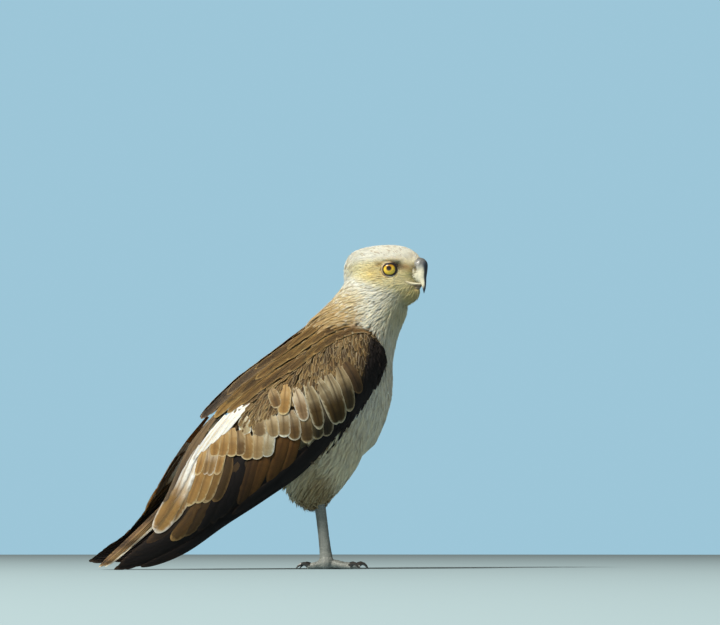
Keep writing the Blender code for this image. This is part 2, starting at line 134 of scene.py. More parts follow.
# Colours of the plumage and the bare parts, linear
CREAM = (0.94, 0.89, 0.70)
FACE = (0.88, 0.73, 0.33)
WHITE = (0.82, 0.74, 0.56)
# the belly's cream darkened with painted shade, as the underparts lie in shade
BELLY_IN_SHADE = (0.74, 0.63, 0.42)
SNOW = (0.93, 0.90, 0.82)
BUFF = (0.66, 0.47, 0.21)
TAN = (0.42, 0.26, 0.10)
RUFOUS = (0.30, 0.15, 0.045)
OCHRE = (0.18, 0.108, 0.034)
BROWN = (0.150, 0.088, 0.034)
UMBER = (0.060, 0.036, 0.017)
BLACK = (0.011, 0.009, 0.009)
PALE_EDGE = (0.60, 0.47, 0.28)
GREY_BUFF = (0.42, 0.35, 0.24)
TROUSERS = (0.30, 0.21, 0.10)
LEG_GREY = (0.34, 0.36, 0.33)
CERE_BLUE = (0.25, 0.29, 0.33)
PUPIL = (0.018, 0.010, 0.008)
EYE_RIM = (0.020, 0.013, 0.015)


def smooth(value, low, high):
    share = np.clip((np.asarray(value, float) - low) / (high - low), 0, 1)
    return share * share * (3 - 2 * share)


def mix(first, second, share):
    """Colours blended by a share for each point."""
    share = np.asarray(share, float)[..., None]
    return np.asarray(first, float) * (1 - share) + np.asarray(second, float) * share


def unit(vectors):
    size = np.linalg.norm(vectors, axis=-1, keepdims=True)
    return vectors / np.maximum(size, 1e-12)


def dot(first, second):
    return (first * second).sum(-1)


def padded_rows(rows):
    rows = np.asarray(rows, float)
    return np.vstack([2 * rows[0] - rows[1], rows, 2 * rows[-1] - rows[-2]])


def spline_at(padded, at):
    """Rows of a Catmull-Rom spline at any shares of its length, a little past its ends too."""
    at = np.asarray(at, float) * (len(padded) - 3)
    first = np.clip(np.floor(at).astype(int), 0, len(padded) - 4)
    t = (at - first)[..., None]
    p0, p1, p2, p3 = (padded[first + k] for k in range(4))
    return 0.5 * (
        2 * p1
        + (p2 - p0) * t
        + (2 * p0 - 5 * p1 + 4 * p2 - p3) * t**2
        + (3 * p1 - p0 - 3 * p2 + p3) * t**3
    )


def through(rows, count):
    return spline_at(padded_rows(rows), np.linspace(0, 1, count))


# ---------------------------------------------------------------- places on the bird


def head_turn():
    c, s = math.cos(HEAD_TURN), math.sin(HEAD_TURN)
    return np.array(((c, -s, 0), (s, c, 0), (0, 0, 1)))


def from_head(points):
    return np.asarray(points) @ head_turn().T + HEAD_CENTRE


def to_head(points):
    return (np.asarray(points) - HEAD_CENTRE) @ head_turn()


def eye_centre(side):
    """The middle of an eyeball, in the head's frame."""
    x, y, z = EYE_APEX
    depth = EYE_RADIUS * np.array((math.cos(EYE_SIGHT), math.sin(EYE_SIGHT)))
    return np.array((x - depth[0], side * (y - depth[1]), z))


def eye_frame(side):
    """Axes at an eye: the line of sight, forwards and up, in the head's frame."""
    sight = np.array((math.cos(EYE_SIGHT), side * math.sin(EYE_SIGHT), 0))
    forwards = unit(np.cross((0, 0, 1), sight)) * -side
    return sight, forwards, np.array((0.0, 0.0, 1.0))


def eye_rays(side, polar, turn):
    """Directions from an eyeball's middle, at angles off its line of sight and round it."""
    sight, forwards, up = eye_frame(side)
    return (
        np.cos(polar)[..., None] * sight
        + (np.sin(polar) * np.cos(turn))[..., None] * forwards
        + (np.sin(polar) * np.sin(turn))[..., None] * up
    )


def seen_by_eye(head, side):
    """Distance of points from an eyeball's middle, degrees off its line of sight, and turn round it."""
    sight, forwards, up = eye_frame(side)
    apart = head - eye_centre(side)
    away = np.linalg.norm(apart, axis=1)
    angle = np.degrees(np.arccos(np.clip(dot(apart, sight) / np.maximum(away, 1e-9), -1, 1)))
    return away, angle, np.arctan2(dot(apart, up), dot(apart, forwards))


def spine_edges(rows):
    """The upper and lower edge of sections down the spine."""
    upper = np.column_stack([rows[:, 0], rows[:, 5], rows[:, 1]]) + ROOT
    lower = np.column_stack([rows[:, 2], rows[:, 5], rows[:, 3]]) + ROOT
    return upper, lower


class Spine:
    """The line down the middle of neck, trunk and tail, with how far round it a point lies."""

    def __init__(self, count=90):
        upper, lower = spine_edges(through(SPINE + TAIL[1:], count))
        self.centre = (upper + lower) / 2
        self.depth = np.linalg.norm(upper - lower, axis=1) / 2
        self.rise = unit(upper - lower)
        self.along = unit(np.gradient(self.centre, axis=0))
        self.share = np.linspace(0, 1, count)

    def locate(self, points):
        """For each point: share of the spine's length, how dorsal it is (-1 to 1), and the way back."""
        apart = points[:, None] - self.centre
        off = np.abs(dot(apart, self.along)) + 4 * (apart**2).sum(-1)
        near = off.argmin(1)
        dorsal = dot(points - self.centre[near], self.rise[near]) / self.depth[near]
        return self.share[near], np.clip(dorsal, -1, 1), self.along[near]


class WingSurface:
    """The outer face of a folded wing: places and normals at shares of its length and width."""

    def __init__(self, side):
        self.side = side
        rows = np.array([(*upper, *lower, swell) for upper, lower, swell in WING])
        rows[:, [1, 4]] *= side
        if side == SIDES["left"]:
            share = np.linspace(0, 1, len(rows)) ** 3
            rows[:, [2, 5]] += LEFT_WING_LIFT * share[:, None]
        rows[:, [0, 3]] += ROOT[0]
        self.padded = padded_rows(rows)

    def place(self, length, width):
        row = spline_at(self.padded, length)
        upper, lower, swell = row[..., :3], row[..., 3:6], row[..., 6:7]
        control = (upper + lower) / 2 + swell * np.array((0.0, self.side, 0.0))
        width = np.asarray(width, float)[..., None]
        return (1 - width) ** 2 * upper + 2 * width * (1 - width) * control + width**2 * lower

    def slopes(self, length, width, step=0.01):
        along = self.place(length + step, width) - self.place(length - step, width)
        down = self.place(length, width + step) - self.place(length, width - step)
        return along / (2 * step), down / (2 * step)

    def normal(self, length, width):
        along, down = self.slopes(length, width)
        return unit(np.cross(down, along) * self.side)

    def shift(self, length, width, offset):
        """Moves places by offsets in space, given as shares of the wing."""
        along, down = self.slopes(length, width)
        aa, ad, dd = dot(along, along), dot(along, down), dot(down, down)
        oa, od = dot(offset, along), dot(offset, down)
        scale = np.maximum(aa * dd - ad * ad, 1e-12)
        return length + (oa * dd - od * ad) / scale, width + (od * aa - oa * ad) / scale


SPINE_LINE = Spine()
WINGS = {word: WingSurface(side) for word, side in SIDES.items()}


def wing_samples():
    """A grid of places over both wings, with their shares of length and width."""
    lengths, widths = np.meshgrid(np.linspace(0, 1, 61), np.linspace(0, 1, 25), indexing="ij")
    places, shares = [], []
    for surface in WINGS.values():
        places.append(surface.place(lengths, widths).reshape(-1, 3))
        shares.append(np.column_stack([lengths.ravel(), widths.ravel()]))
    return np.vstack(places), np.vstack(shares)


def point_tree(points):
    """A search tree over points, by their numbers."""
    tree = KDTree(len(points))
    for index, point in enumerate(points):
        tree.insert(point, index)
    tree.balance()
    return tree


class WingFinder:
    """Finds the nearest place of either wing for a point."""

    def __init__(self):
        places, self.shares = wing_samples()
        self.tree = point_tree(places)

    def locate(self, points):
        found = [self.tree.find(p) for p in points]
        index = np.array([f[1] for f in found])
        apart = np.array([f[2] for f in found])
        return self.shares[index, 0], self.shares[index, 1], apart


FINDER = WingFinder()


def thigh_line(side):
    line = np.array(THIGH_LINE)
    line[:, 0] += ROOT[0] + STRIDE * side
    line[:, 1] = side * (line[:, 1] + LEG_SPREAD)
    return through(line, 30)


def thigh_near(points):
    """How near each point is to a thigh's middle line, and the way down that line."""
    best = np.full(len(points), 9.0)
    down = np.zeros((len(points), 3))
    for side in SIDES.values():
        line = thigh_line(side)
        along = unit(np.gradient(line, axis=0))
        apart = np.linalg.norm(points[:, None] - line, axis=2)
        near = apart.argmin(1)
        closer = apart.min(1) < best
        best = np.where(closer, apart.min(1), best)
        down[closer] = along[near[closer]]
    return best, down


# ---------------------------------------------------------------- the lie and size of the plumage

# Each kind of plumage: frame, place, reach, then length, half width and spacing in millimetres,
# the depth of the coat over the skin, how far the tip stands out, and how blunt the tip is
PLUMAGE = (
    ("head", (0.052, 0.009, 0.000), 0.010, 3.4, 0.42, 0.98, 0.7, 0.06, 0.1),
    ("head", (0.046, 0.000, 0.024), 0.010, 4.8, 0.72, 1.15, 0.5, 0.05, 0.4),
    ("head", (0.024, 0.028, 0.006), 0.010, 3.6, 0.52, 1.08, 0.8, 0.00, 0.3),
    ("head", (0.030, 0.020, 0.026), 0.012, 5.5, 0.92, 1.40, 1.0, 0.03, 0.4),
    ("head", (0.005, 0.000, 0.040), 0.022, 9.0, 1.35, 1.85, 1.6, 0.03, 0.4),
    ("head", (0.000, 0.034, 0.008), 0.018, 8.0, 1.20, 1.75, 1.4, 0.02, 0.4),
    ("head", (0.020, 0.024, -0.020), 0.014, 8.0, 0.95, 1.70, 1.3, 0.04, 0.2),
    ("head", (0.045, 0.000, -0.030), 0.012, 10.0, 0.85, 1.50, 0.2, 0.34, 0.1),
    ("head", (0.030, 0.000, -0.044), 0.014, 13.0, 1.20, 1.90, 0.3, 0.22, 0.1),
    ("head", (-0.040, 0.000, 0.020), 0.016, 13.0, 1.65, 2.20, 3.6, 0.08, 0.2),
    ("head", (-0.020, 0.030, -0.030), 0.022, 13.0, 1.75, 2.40, 2.4, 0.04, 0.3),
    ("body", (0.105, 0.000, 0.350), 0.022, 18.0, 2.10, 2.80, 0.7, 0.11, 0.3),
    ("body", (0.060, 0.040, 0.330), 0.030, 18.0, 2.20, 3.00, 2.6, 0.03, 0.3),
    ("body", (0.000, 0.000, 0.350), 0.030, 20.0, 2.40, 3.40, 2.2, 0.14, 0.2),
    ("body", (0.085, 0.000, 0.270), 0.035, 22.0, 3.00, 3.40, 2.0, 0.03, 0.4),
    ("body", (0.060, 0.000, 0.190), 0.030, 24.0, 3.20, 3.60, 2.0, 0.03, 0.4),
    ("body", (0.000, 0.000, 0.145), 0.030, 26.0, 3.30, 4.00, 3.6, 0.04, 0.4),
    ("body", (-0.050, 0.000, 0.300), 0.030, 25.0, 3.60, 4.60, 4.0, 0.06, 0.5),
    ("body", (-0.110, 0.000, 0.230), 0.035, 34.0, 5.20, 6.40, 5.5, 0.03, 0.6),
    ("body", (-0.160, 0.000, 0.170), 0.030, 36.0, 5.60, 7.00, 6.0, 0.03, 0.6),
    ("body", (-0.090, 0.000, 0.125), 0.035, 30.0, 3.60, 5.00, 5.5, 0.08, 0.3),
    ("body", (-0.160, 0.000, 0.125), 0.030, 36.0, 4.80, 6.20, 5.0, 0.04, 0.5),
    ("thigh", (0.010, 0.030, 0.160), 0.025, 21.0, 2.70, 3.20, 3.0, 0.05, 0.3),
    ("thigh", (-0.030, 0.010, 0.112), 0.014, 34.0, 0.95, 2.20, 2.6, 0.48, 0.0),
    ("thigh", (0.004, 0.010, 0.108), 0.014, 15.0, 1.35, 2.40, 2.6, 0.16, 0.1),
    ("thigh", (-0.012, 0.000, 0.088), 0.010, 10.0, 0.80, 1.70, 1.4, 0.22, 0.0),
    ("wrist", (0.045, 0.060, 0.300), 0.018, 9.0, 1.50, 2.30, 1.6, 0.05, 0.5),
)


def plumage_anchors():
    places, reaches, values = [], [], []
    for part, place, reach, *numbers in PLUMAGE:
        for side in {1, 1 if place[1] == 0 else -1}:
            spot = np.array(place) * (1, side, 1)
            if part == "head":
                spot = from_head(spot)
            elif part == "thigh":
                spot = spot + ROOT + (STRIDE * side, LEG_SPREAD * side, 0)
            else:
                spot = spot + ROOT
            places.append(spot)
            reaches.append(reach)
            values.append(numbers)
    return np.array(places), np.array(reaches), np.array(values)


ANCHORS = plumage_anchors()


def plumage_at(points):
    """Length, half width, spacing, depth (metres), stand-out and bluntness of the plumage at points."""
    places, reaches, values = ANCHORS
    apart = ((points[:, None] - places) ** 2).sum(-1)
    weight = np.exp(-apart / (2 * reaches**2)) + 1e-9 * np.exp(-np.sqrt(apart) / 0.02) + 1e-30
    found = weight @ values / weight.sum(1, keepdims=True)
    found[:, :4] *= MM
    return found


def wing_heading(length, width):
    """The angle of the lie of a wing's small feathers, from its length towards its lower edge."""
    fore = 1 - smooth(length, 0.22, 0.42)
    inner = smooth(width, 0.14, 0.26)
    edge = smooth(width, 0.74, 0.90)
    angle = (36 + 20 * fore) * inner * (1 - edge) + 12 * edge + 60 * (1 - smooth(length, 0.0, 0.05))
    return np.radians(np.minimum(angle, 62))


def round_the_eyes(head, flow):
    """Turns a flow on the head aside where it would run over an eye."""
    for side in SIDES.values():
        apart = eye_centre(side) - head
        distance = np.linalg.norm(apart, axis=1)
        towards = unit(apart)
        inward = np.clip(dot(flow, towards), 0, 1) * (1 - smooth(distance, 0.0150, 0.0230))
        flow = flow - towards * (inward * 1.25)[:, None]
    return unit(flow)


def lie_of_coat(points, normals):
    """The way each feather lies on the skin: from the bill back over the head, then down the body."""
    head = to_head(points)
    base = np.array((0.056, 0.0, -0.002))
    from_bill = round_the_eyes(head, unit(head - base)) @ head_turn().T
    _, _, back = SPINE_LINE.locate(points)
    on_head = smooth(head[:, 0] - 0.25 * head[:, 2], -0.040, -0.005)
    flow = back * (1 - on_head[:, None]) + from_bill * on_head[:, None]
    apart, down = thigh_near(points)
    on_thigh = (1 - smooth(apart, 0.022, 0.036)) * (1 - smooth(points[:, 2], 0.17, 0.21))
    flow = flow * (1 - on_thigh[:, None]) + (down + (-0.25, 0, 0)) * on_thigh[:, None]
    length, width, off = FINDER.locate(points)
    on_wing = (1 - smooth(off, 0.006, 0.014)) * (1 - smooth(length, 0.36, 0.42))
    heading = wing_heading(length, width)
    for word, side in SIDES.items():
        mine = np.flatnonzero((on_wing > 0) & (points[:, 1] * side > 0))
        along, across = WINGS[word].slopes(length[mine], width[mine])
        turn = heading[mine, None]
        lie = unit(along) * np.cos(turn) + unit(across) * np.sin(turn)
        share = on_wing[mine, None]
        flow[mine] = unit(flow[mine]) * (1 - share) + lie * share
    flow -= normals * dot(flow, normals)[:, None]
    return unit(flow)


def spot(head, place, reach):
    """How near points of the head are to a place on either side of it, from 1 down to 0."""
    apart = np.column_stack([head[:, 0], np.abs(head[:, 1]), head[:, 2]]) - place
    return np.exp(-((apart / reach) ** 2).sum(1))


# Marks of the face, some of them painted shade, in the order they are laid: colour, strength, place in the
# head's frame, reach
FACE_MARKS_AND_SHADES = (
    ((0.86, 0.62, 0.23), 0.95, (0.002, 0.034, 0.000), (0.016, 0.024, 0.011)),
    ((0.50, 0.44, 0.17), 0.80, (0.0471, 0.0145, -0.0020), (0.009, 0.016, 0.0070)),
    ((0.42, 0.32, 0.09), 0.90, (0.0495, 0.0125, 0.0042), (0.006, 0.016, 0.0055)),
    ((0.46, 0.27, 0.11), 0.92, (0.0420, 0.0165, 0.0082), (0.009, 0.018, 0.0042)),
    # a dark smudge over and before the eye: painted shadow of the brow
    ((0.08, 0.045, 0.025), 0.97, (0.0345, 0.0200, 0.0098), (0.0055, 0.014, 0.0046)),
    # a tan band over the eye: partly painted shade under the brow
    ((0.70, 0.52, 0.26), 0.60, (0.0265, 0.0260, 0.0165), (0.014, 0.018, 0.0040)),
    # olive-brown under the lower bill: partly painted shade
    ((0.36, 0.26, 0.12), 0.80, (0.0560, 0.0060, -0.0220), (0.008, 0.020, 0.0070)),
    (TAN, 0.65, (0.009, 0.032, 0.012), (0.006, 0.014, 0.0045)),
    # olive-brown down the throat and the front of the neck: the face's yellowish colour darkened with painted
    # shade
    ((0.40, 0.31, 0.10), 0.90, (0.046, 0.006, -0.036), (0.019, 0.028, 0.017)),
    ((0.52, 0.41, 0.17), 0.65, (0.030, 0.010, -0.060), (0.028, 0.034, 0.026)),
    (TAN, 0.50, (0.050, 0.010, 0.026), (0.005, 0.008, 0.006)),
)


def markings_and_shade(points):
    """The colour of the coat at each point of the body, with painted shade under the bill, down the throat,
    over the eye, low on the body and along the wing's leading edge; the same for the skin below it.
    """
    head = to_head(points)
    share, dorsal, _ = SPINE_LINE.locate(points)
    length, width, off = FINDER.locate(points)
    x, z = head[:, 0], head[:, 2]
    colour = mix(CREAM, WHITE, smooth(points[:, 2], 0.36, 0.30))
    # lower down the body the coat turns a darker cream: partly painted shade of the underparts
    colour = mix(colour, BELLY_IN_SHADE, smooth(points[:, 2], 0.24, 0.14))
    # the face: yellowish cheeks, buff ear coverts, olive lores, a dark smudge over and before the eye that is
    # painted shadow of the brow, and painted shade under the bill and down the throat
    on_head = smooth(x, -0.055, -0.020) * smooth(points[:, 2], 0.335, 0.36)
    cheeks = smooth(z, 0.024, 0.010) * smooth(z + 0.4 * x, -0.022, -0.006)
    colour = mix(colour, FACE, 0.85 * on_head * cheeks)
    for tint, strength, place, reach in FACE_MARKS_AND_SHADES:
        colour = mix(colour, tint, strength * spot(head, place, reach))
    # brown back from the hind neck down, through tan
    upper = smooth(dorsal, 0.05, 0.45)
    colour = mix(colour, BUFF, 0.75 * smooth(share, 0.06, 0.14) * smooth(dorsal, 0.25, 0.75))
    colour = mix(colour, TAN, 0.80 * smooth(share, 0.12, 0.20) * upper)
    colour = mix(colour, BROWN, smooth(share, 0.19, 0.31) * smooth(dorsal, -0.10, 0.30))
    # wing coverts, and the blackish leading and lower edge: partly the feathers' own dark colour, partly
    # painted shade where the wing turns away from the light
    on_wing = (1 - smooth(off, 0.002, 0.006)) * (1 - smooth(length, 0.60, 0.70))
    colour = mix(colour, BROWN, on_wing)
    colour = mix(colour, BLACK, on_wing * dark_shaded_edge(length, width))
    # the trousers are browner low down at the back
    apart, _ = thigh_near(points)
    low = smooth(points[:, 2] + 0.8 * (points[:, 0] - ROOT[0]), 0.130, 0.090)
    return mix(colour, TROUSERS, 0.9 * (1 - smooth(apart, 0.02, 0.04)) * low)


def dark_shaded_edge(length, width):
    """How far a place of the wing is inside its blackish leading and lower edge, which is partly the
    feathers' own dark colour and partly painted shade where the wing turns under, away from the light.
    """
    shaded_front = smooth(width + 0.35 * np.clip(0.16 - length, -0.5, 0.2) / 0.16, 0.50, 0.62)
    return np.maximum(shaded_front, smooth(width, 0.76, 0.84))


# ---------------------------------------------------------------- meshes


def mesh_object(name, places, triangles, material):
    mesh = bpy.data.meshes.new(name)
    mesh.vertices.add(len(places))
    mesh.vertices.foreach_set("co", np.asarray(places, np.float32).ravel())
    mesh.loops.add(len(triangles) * 3)
    mesh.loops.foreach_set("vertex_index", np.asarray(triangles, np.int32).ravel())
    mesh.polygons.add(len(triangles))
    mesh.polygons.foreach_set("loop_start", np.arange(0, len(triangles) * 3, 3, dtype=np.int32))
    mesh.update(calc_edges=True)
    mesh.shade_smooth()
    mesh.materials.append(material)
    obj = bpy.data.objects.new(name, mesh)
    bpy.context.scene.collection.objects.link(obj)
    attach(obj, "root")
    return obj


def set_colours(obj, colours):
    rgba = np.ones((len(colours), 4), np.float32)
    rgba[:, :3] = colours
    made = obj.data.color_attributes.new("plumage", "FLOAT_COLOR", "POINT")
    made.data.foreach_set("color", rgba.ravel())


def set_vectors(obj, name, vectors):
    made = obj.data.attributes.new(name, "FLOAT_VECTOR", "POINT")
    made.data.foreach_set("vector", np.asarray(vectors, np.float32).ravel())


def set_bake_map(obj, corners):
    layer = obj.data.uv_layers.new(name="OFBake")
    layer.data.foreach_set("uv", np.asarray(corners, np.float32).ravel())


def mesh_arrays(mesh):
    places = np.zeros(len(mesh.vertices) * 3)
    mesh.vertices.foreach_get("co", places)
    mesh.calc_loop_triangles()
    triangles = np.zeros(len(mesh.loop_triangles) * 3, int)
    mesh.loop_triangles.foreach_get("vertices", triangles)
    return places.reshape(-1, 3), triangles.reshape(-1, 3)


def ring_triangles(stations, around):
    """Triangles of a closed tube of rings of points, with both ends filled."""
    made = []
    for k in range(stations - 1):
        for j in range(around):
            a, b = k * around + j, k * around + (j + 1) % around
            c, d = b + around, a + around
            made += [(a, b, c), (a, c, d)]
    last = (stations - 1) * around
    for j in range(1, around - 1):
        made += [(0, j + 1, j), (last, last + j, last + j + 1)]
    return np.array(made)


def facing_out(places, triangles, core=None):
    """The triangles, turned over if they face into their shape. core: a place inside it for each place."""
    if core is None:
        core = np.broadcast_to(places.mean(0), places.shape)
    a, b, c = (places[triangles[:, k]] for k in range(3))
    facing = dot(np.cross(b - a, c - a), a - core[triangles[:, 0]]).sum()
    return triangles if facing > 0 else triangles[:, ::-1]


def joined(parts):
    """Several surfaces as one: all their places and all their triangles."""
    starts = np.cumsum([0] + [len(part[0]) for part in parts[:-1]])
    triangles = [part[1] + start for part, start in zip(parts, starts)]
    return np.vstack([part[0] for part in parts]), np.vstack(triangles)


def search_tree(parts):
    """One search tree over several surfaces."""
    places, triangles = joined(parts)
    return BVHTree.FromPolygons(places.tolist(), triangles.tolist())


def nearest(tree, points):
    """The places of a surface nearest to points, and its normals there."""
    found = [tree.find_nearest(point) for point in points]
    return np.array([f[0] for f in found]), np.array([f[1] for f in found])


class Coat:
    """Vanes gathered into one mesh. Each is a closed thin solid, a ring of points at each station."""

    def __init__(self, name, slot):
        self.name, self.slot = name, slot
        self.places, self.normals, self.triangles, self.turned = [], [], [], []
        self.colours, self.grain, self.corners = [], [], []
        self.count = 0

    def add(self, places, normals, colours, along, across, patch, rng, under=()):
        """places, normals, colours: vane, station, point round the ring, 3. patch: the same, 2.

        under lists the sides of the ring, by their first point, that face down.
        """
        vanes, stations, around, _ = places.shape
        template = ring_triangles(stations, around)
        sides_of = np.repeat(np.tile(np.arange(around), stations - 1), 2)
        down = np.isin(np.concatenate([sides_of, np.full(len(template) - len(sides_of), -1)]), under)
        one = places[0].reshape(-1, 3)
        a, b, c = (one[template[:, k]] for k in range(3))
        if dot(np.cross(b - a, c - a), a - one.mean(0)).sum() < 0:
            template = template[:, ::-1]
        starts = self.count + np.arange(vanes) * stations * around
        triangles = (template[None] + starts[:, None, None]).reshape(-1, 3)
        chance = np.broadcast_to(rng.random(vanes)[:, None, None], along.shape)
        grain = np.stack([along, across, chance], -1)
        self.places.append(places.reshape(-1, 3))
        self.normals.append(unit(normals).reshape(-1, 3))
        self.triangles.append(triangles)
        self.turned.append(np.tile(np.where(down, -1.0, 1.0), vanes))
        self.colours.append(colours.reshape(-1, 3))
        self.grain.append(grain.reshape(-1, 3))
        self.corners.append(patch.reshape(-1, 2))
        self.count += vanes * stations * around

    def build(self, material, above=0.0002):
        places = np.vstack(self.places)
        places[:, 2] = np.maximum(places[:, 2], above)
        triangles = np.vstack(self.triangles)
        obj = mesh_object(self.name, places, triangles, material)
        turned = np.repeat(np.concatenate(self.turned), 3)[:, None]
        corner_normals = np.vstack(self.normals)[triangles.ravel()] * turned
        obj.data.normals_split_custom_set(corner_normals.tolist())
        set_colours(obj, np.clip(np.vstack(self.colours), 0, 1))
        set_vectors(obj, "grain", np.vstack(self.grain))
        set_bake_map(obj, np.vstack(self.corners)[triangles.ravel()])
        return obj


# ---------------------------------------------------------------- materials


def node(tree, kind, **values):
    made = tree.nodes.new(kind)
    for name, value in values.items():
        if name.startswith("in_"):
            key = name[3:]
            made.inputs[int(key) if key.isdigit() else key.replace("_", " ")].default_value = value
        else:
            setattr(made, name, value)
    return made


def new_material(name):
    made = bpy.data.materials.new(name)
    made.use_nodes = True
    tree = made.node_tree
    return made, tree, tree.nodes["Principled BSDF"]


def attribute(tree, name):
    return node(tree, "ShaderNodeAttribute", attribute_name=name)


def texture(tree, kind, place=None, **values):
    """A texture node read at a place, or at the object's own coordinates."""
    if place is None:
        place = node(tree, "ShaderNodeTexCoord").outputs["Object"]
    made = node(tree, kind, **values)
    tree.links.new(place, made.inputs["Vector"])
    return made


def stretched(tree, place, by):
    made = node(tree, "ShaderNodeVectorMath", operation="MULTIPLY", in_1=by)
    tree.links.new(place, made.inputs[0])
    return made.outputs[0]


def varied(tree, source, low, high):
    """A noise's middle part turned to a factor between low and high."""
    made = node(tree, "ShaderNodeMapRange", in_1=0.3, in_2=0.7, in_3=low, in_4=high)
    tree.links.new(source.outputs["Fac"], made.inputs[0])
    return made.outputs[0]


def tint_base(tree, shader, factor):
    """The base colour: the mesh's own colour at each point, times a factor."""
    tinted = node(tree, "ShaderNodeVectorMath", operation="SCALE")
    tree.links.new(attribute(tree, "plumage").outputs["Color"], tinted.inputs[0])
    tree.links.new(factor, tinted.inputs["Scale"])
    tree.links.new(tinted.outputs[0], shader.inputs["Base Color"])


def add_bump(tree, shader, height, strength, distance=0.0002):
    bump = node(tree, "ShaderNodeBump", in_Strength=strength, in_Distance=distance)
    tree.links.new(height, bump.inputs["Height"])
    tree.links.new(bump.outputs[0], shader.inputs["Normal"])


def set_sockets(shader, values):
    for name, value in values.items():
        shader.inputs[name].default_value = value


def feather_material():
    """Colour from the vanes' own attribute, broken up by barbs that run out from the shaft."""
    made, tree, shader = new_material("plumage")
    link = tree.links.new
    # grain holds how far a point is along its vane and across it, and a chance number for the vane
    parts = node(tree, "ShaderNodeSeparateXYZ")
    link(attribute(tree, "grain").outputs["Vector"], parts.inputs[0])
    away = node(tree, "ShaderNodeMath", operation="ABSOLUTE")
    link(parts.outputs["Y"], away.inputs[0])
    barb = node(tree, "ShaderNodeMath", operation="MULTIPLY_ADD", in_1=-1.3)
    link(away.outputs[0], barb.inputs[0])
    link(parts.outputs["X"], barb.inputs[2])
    place = node(tree, "ShaderNodeCombineXYZ")
    link(barb.outputs[0], place.inputs["X"])
    link(parts.outputs["Z"], place.inputs["Z"])
    wide = stretched(tree, place.outputs[0], (1500, 1, 40))
    barbs = texture(tree, "ShaderNodeTexNoise", wide, in_Scale=1.0, in_Detail=3.0, in_Roughness=0.6)
    patches = node(tree, "ShaderNodeTexNoise", in_Scale=140.0, in_Detail=4.0)
    both = node(tree, "ShaderNodeMath", operation="MULTIPLY")
    link(varied(tree, barbs, 0.87, 1.09), both.inputs[0])
    link(varied(tree, patches, 0.90, 1.08), both.inputs[1])
    tint_base(tree, shader, both.outputs[0])
    add_bump(tree, shader, barbs.outputs["Fac"], 0.20)
    set_sockets(shader, {
        "Roughness": 0.75, "Specular IOR Level": 0.12, "Subsurface Weight": 0.7,
        "Subsurface Radius": (1.0, 0.8, 0.6), "Subsurface Scale": 0.0018,
    })
    return made


def skin_material(name, scale, depth, rough):
    """Bare or thinly covered skin: the markings' colour with fine pores and folds."""
    made, tree, shader = new_material(name)
    place = node(tree, "ShaderNodeTexCoord").outputs["Object"]
    cells = texture(tree, "ShaderNodeTexVoronoi", place, in_Scale=scale)
    patches = texture(tree, "ShaderNodeTexNoise", place, in_Scale=90.0, in_Detail=5.0)
    tint_base(tree, shader, varied(tree, patches, 0.82, 1.12))
    add_bump(tree, shader, cells.outputs["Distance"], 0.5, depth)
    set_sockets(shader, {"Roughness": rough})
    return made


def bill_material():
    """The colour attribute with fine growth lines, under a thin gloss."""
    made, tree, shader = new_material("bill")
    where = stretched(tree, node(tree, "ShaderNodeTexCoord").outputs["Object"], (260, 260, 900))
    lines = texture(tree, "ShaderNodeTexNoise", where, in_Scale=1.0, in_Detail=4.0)
    tint_base(tree, shader, varied(tree, lines, 0.85, 1.10))
    add_bump(tree, shader, lines.outputs["Fac"], 0.25)
    set_sockets(shader, {"Roughness": 0.48, "Coat Weight": 0.12, "Coat Roughness": 0.15})
    return made


def ramp_base(tree, shader, source, low, high):
    """The base colour: a noise's value turned to a colour between two."""
    ramp = node(tree, "ShaderNodeValToRGB")
    for element, colour in zip(ramp.color_ramp.elements, (low, high)):
        element.color = (*colour, 1)
    tree.links.new(source.outputs["Fac"], ramp.inputs[0])
    tree.links.new(ramp.outputs[0], shader.inputs["Base Color"])


def claw_material():
    """Near-black claws with faint greyer mottling and lines."""
    made, tree, shader = new_material("claw")
    lines = texture(tree, "ShaderNodeTexNoise", in_Scale=320.0, in_Detail=5.0)
    ramp_base(tree, shader, lines, (0.010, 0.009, 0.009), (0.060, 0.055, 0.050))
    add_bump(tree, shader, lines.outputs["Fac"], 0.2)
    set_sockets(shader, {"Roughness": 0.28, "Coat Weight": 0.4})
    return made


def eye_material():
    """The iris's colour with streaks that run out from the pupil, under a wet clear coat."""
    made, tree, shader = new_material("eye")
    spokes = attribute(tree, "grain").outputs["Vector"]
    streaks = texture(tree, "ShaderNodeTexNoise", spokes, in_Scale=1.0, in_Detail=4.0, in_Roughness=0.65)
    tint_base(tree, shader, varied(tree, streaks, 0.78, 1.18))
    set_sockets(shader, {"Roughness": 0.25, "Coat Weight": 1.0, "Coat Roughness": 0.02, "Coat IOR": 1.4})
    return made


FEATHER = feather_material()
SKIN = skin_material("skin", scale=420.0, depth=0.0003, rough=0.6)
SCALE = skin_material("scales", scale=900.0, depth=0.0002, rough=0.5)
BILL = bill_material()
CLAW = claw_material()
EYE = eye_material()


# ---------------------------------------------------------------- the skin


# The ridge of each brow, in the head's frame, with its half thickness
BROW = (
    (0.0420, 0.0135, 0.0150, 0.0008),
    (0.0345, 0.0208, 0.0168, 0.0022),
    (0.0265, 0.0255, 0.0178, 0.0030),
    (0.0180, 0.0285, 0.0176, 0.0027),
    (0.0105, 0.0300, 0.0150, 0.0018),
    (0.0050, 0.0310, 0.0110, 0.0008),
)

# How far the skin stands out from the base of the bill, before it is sunk by the coat's depth,
# and how far forwards it reaches in the head's frame
COLLAR = 0.0015
COLLAR_END = 0.0528

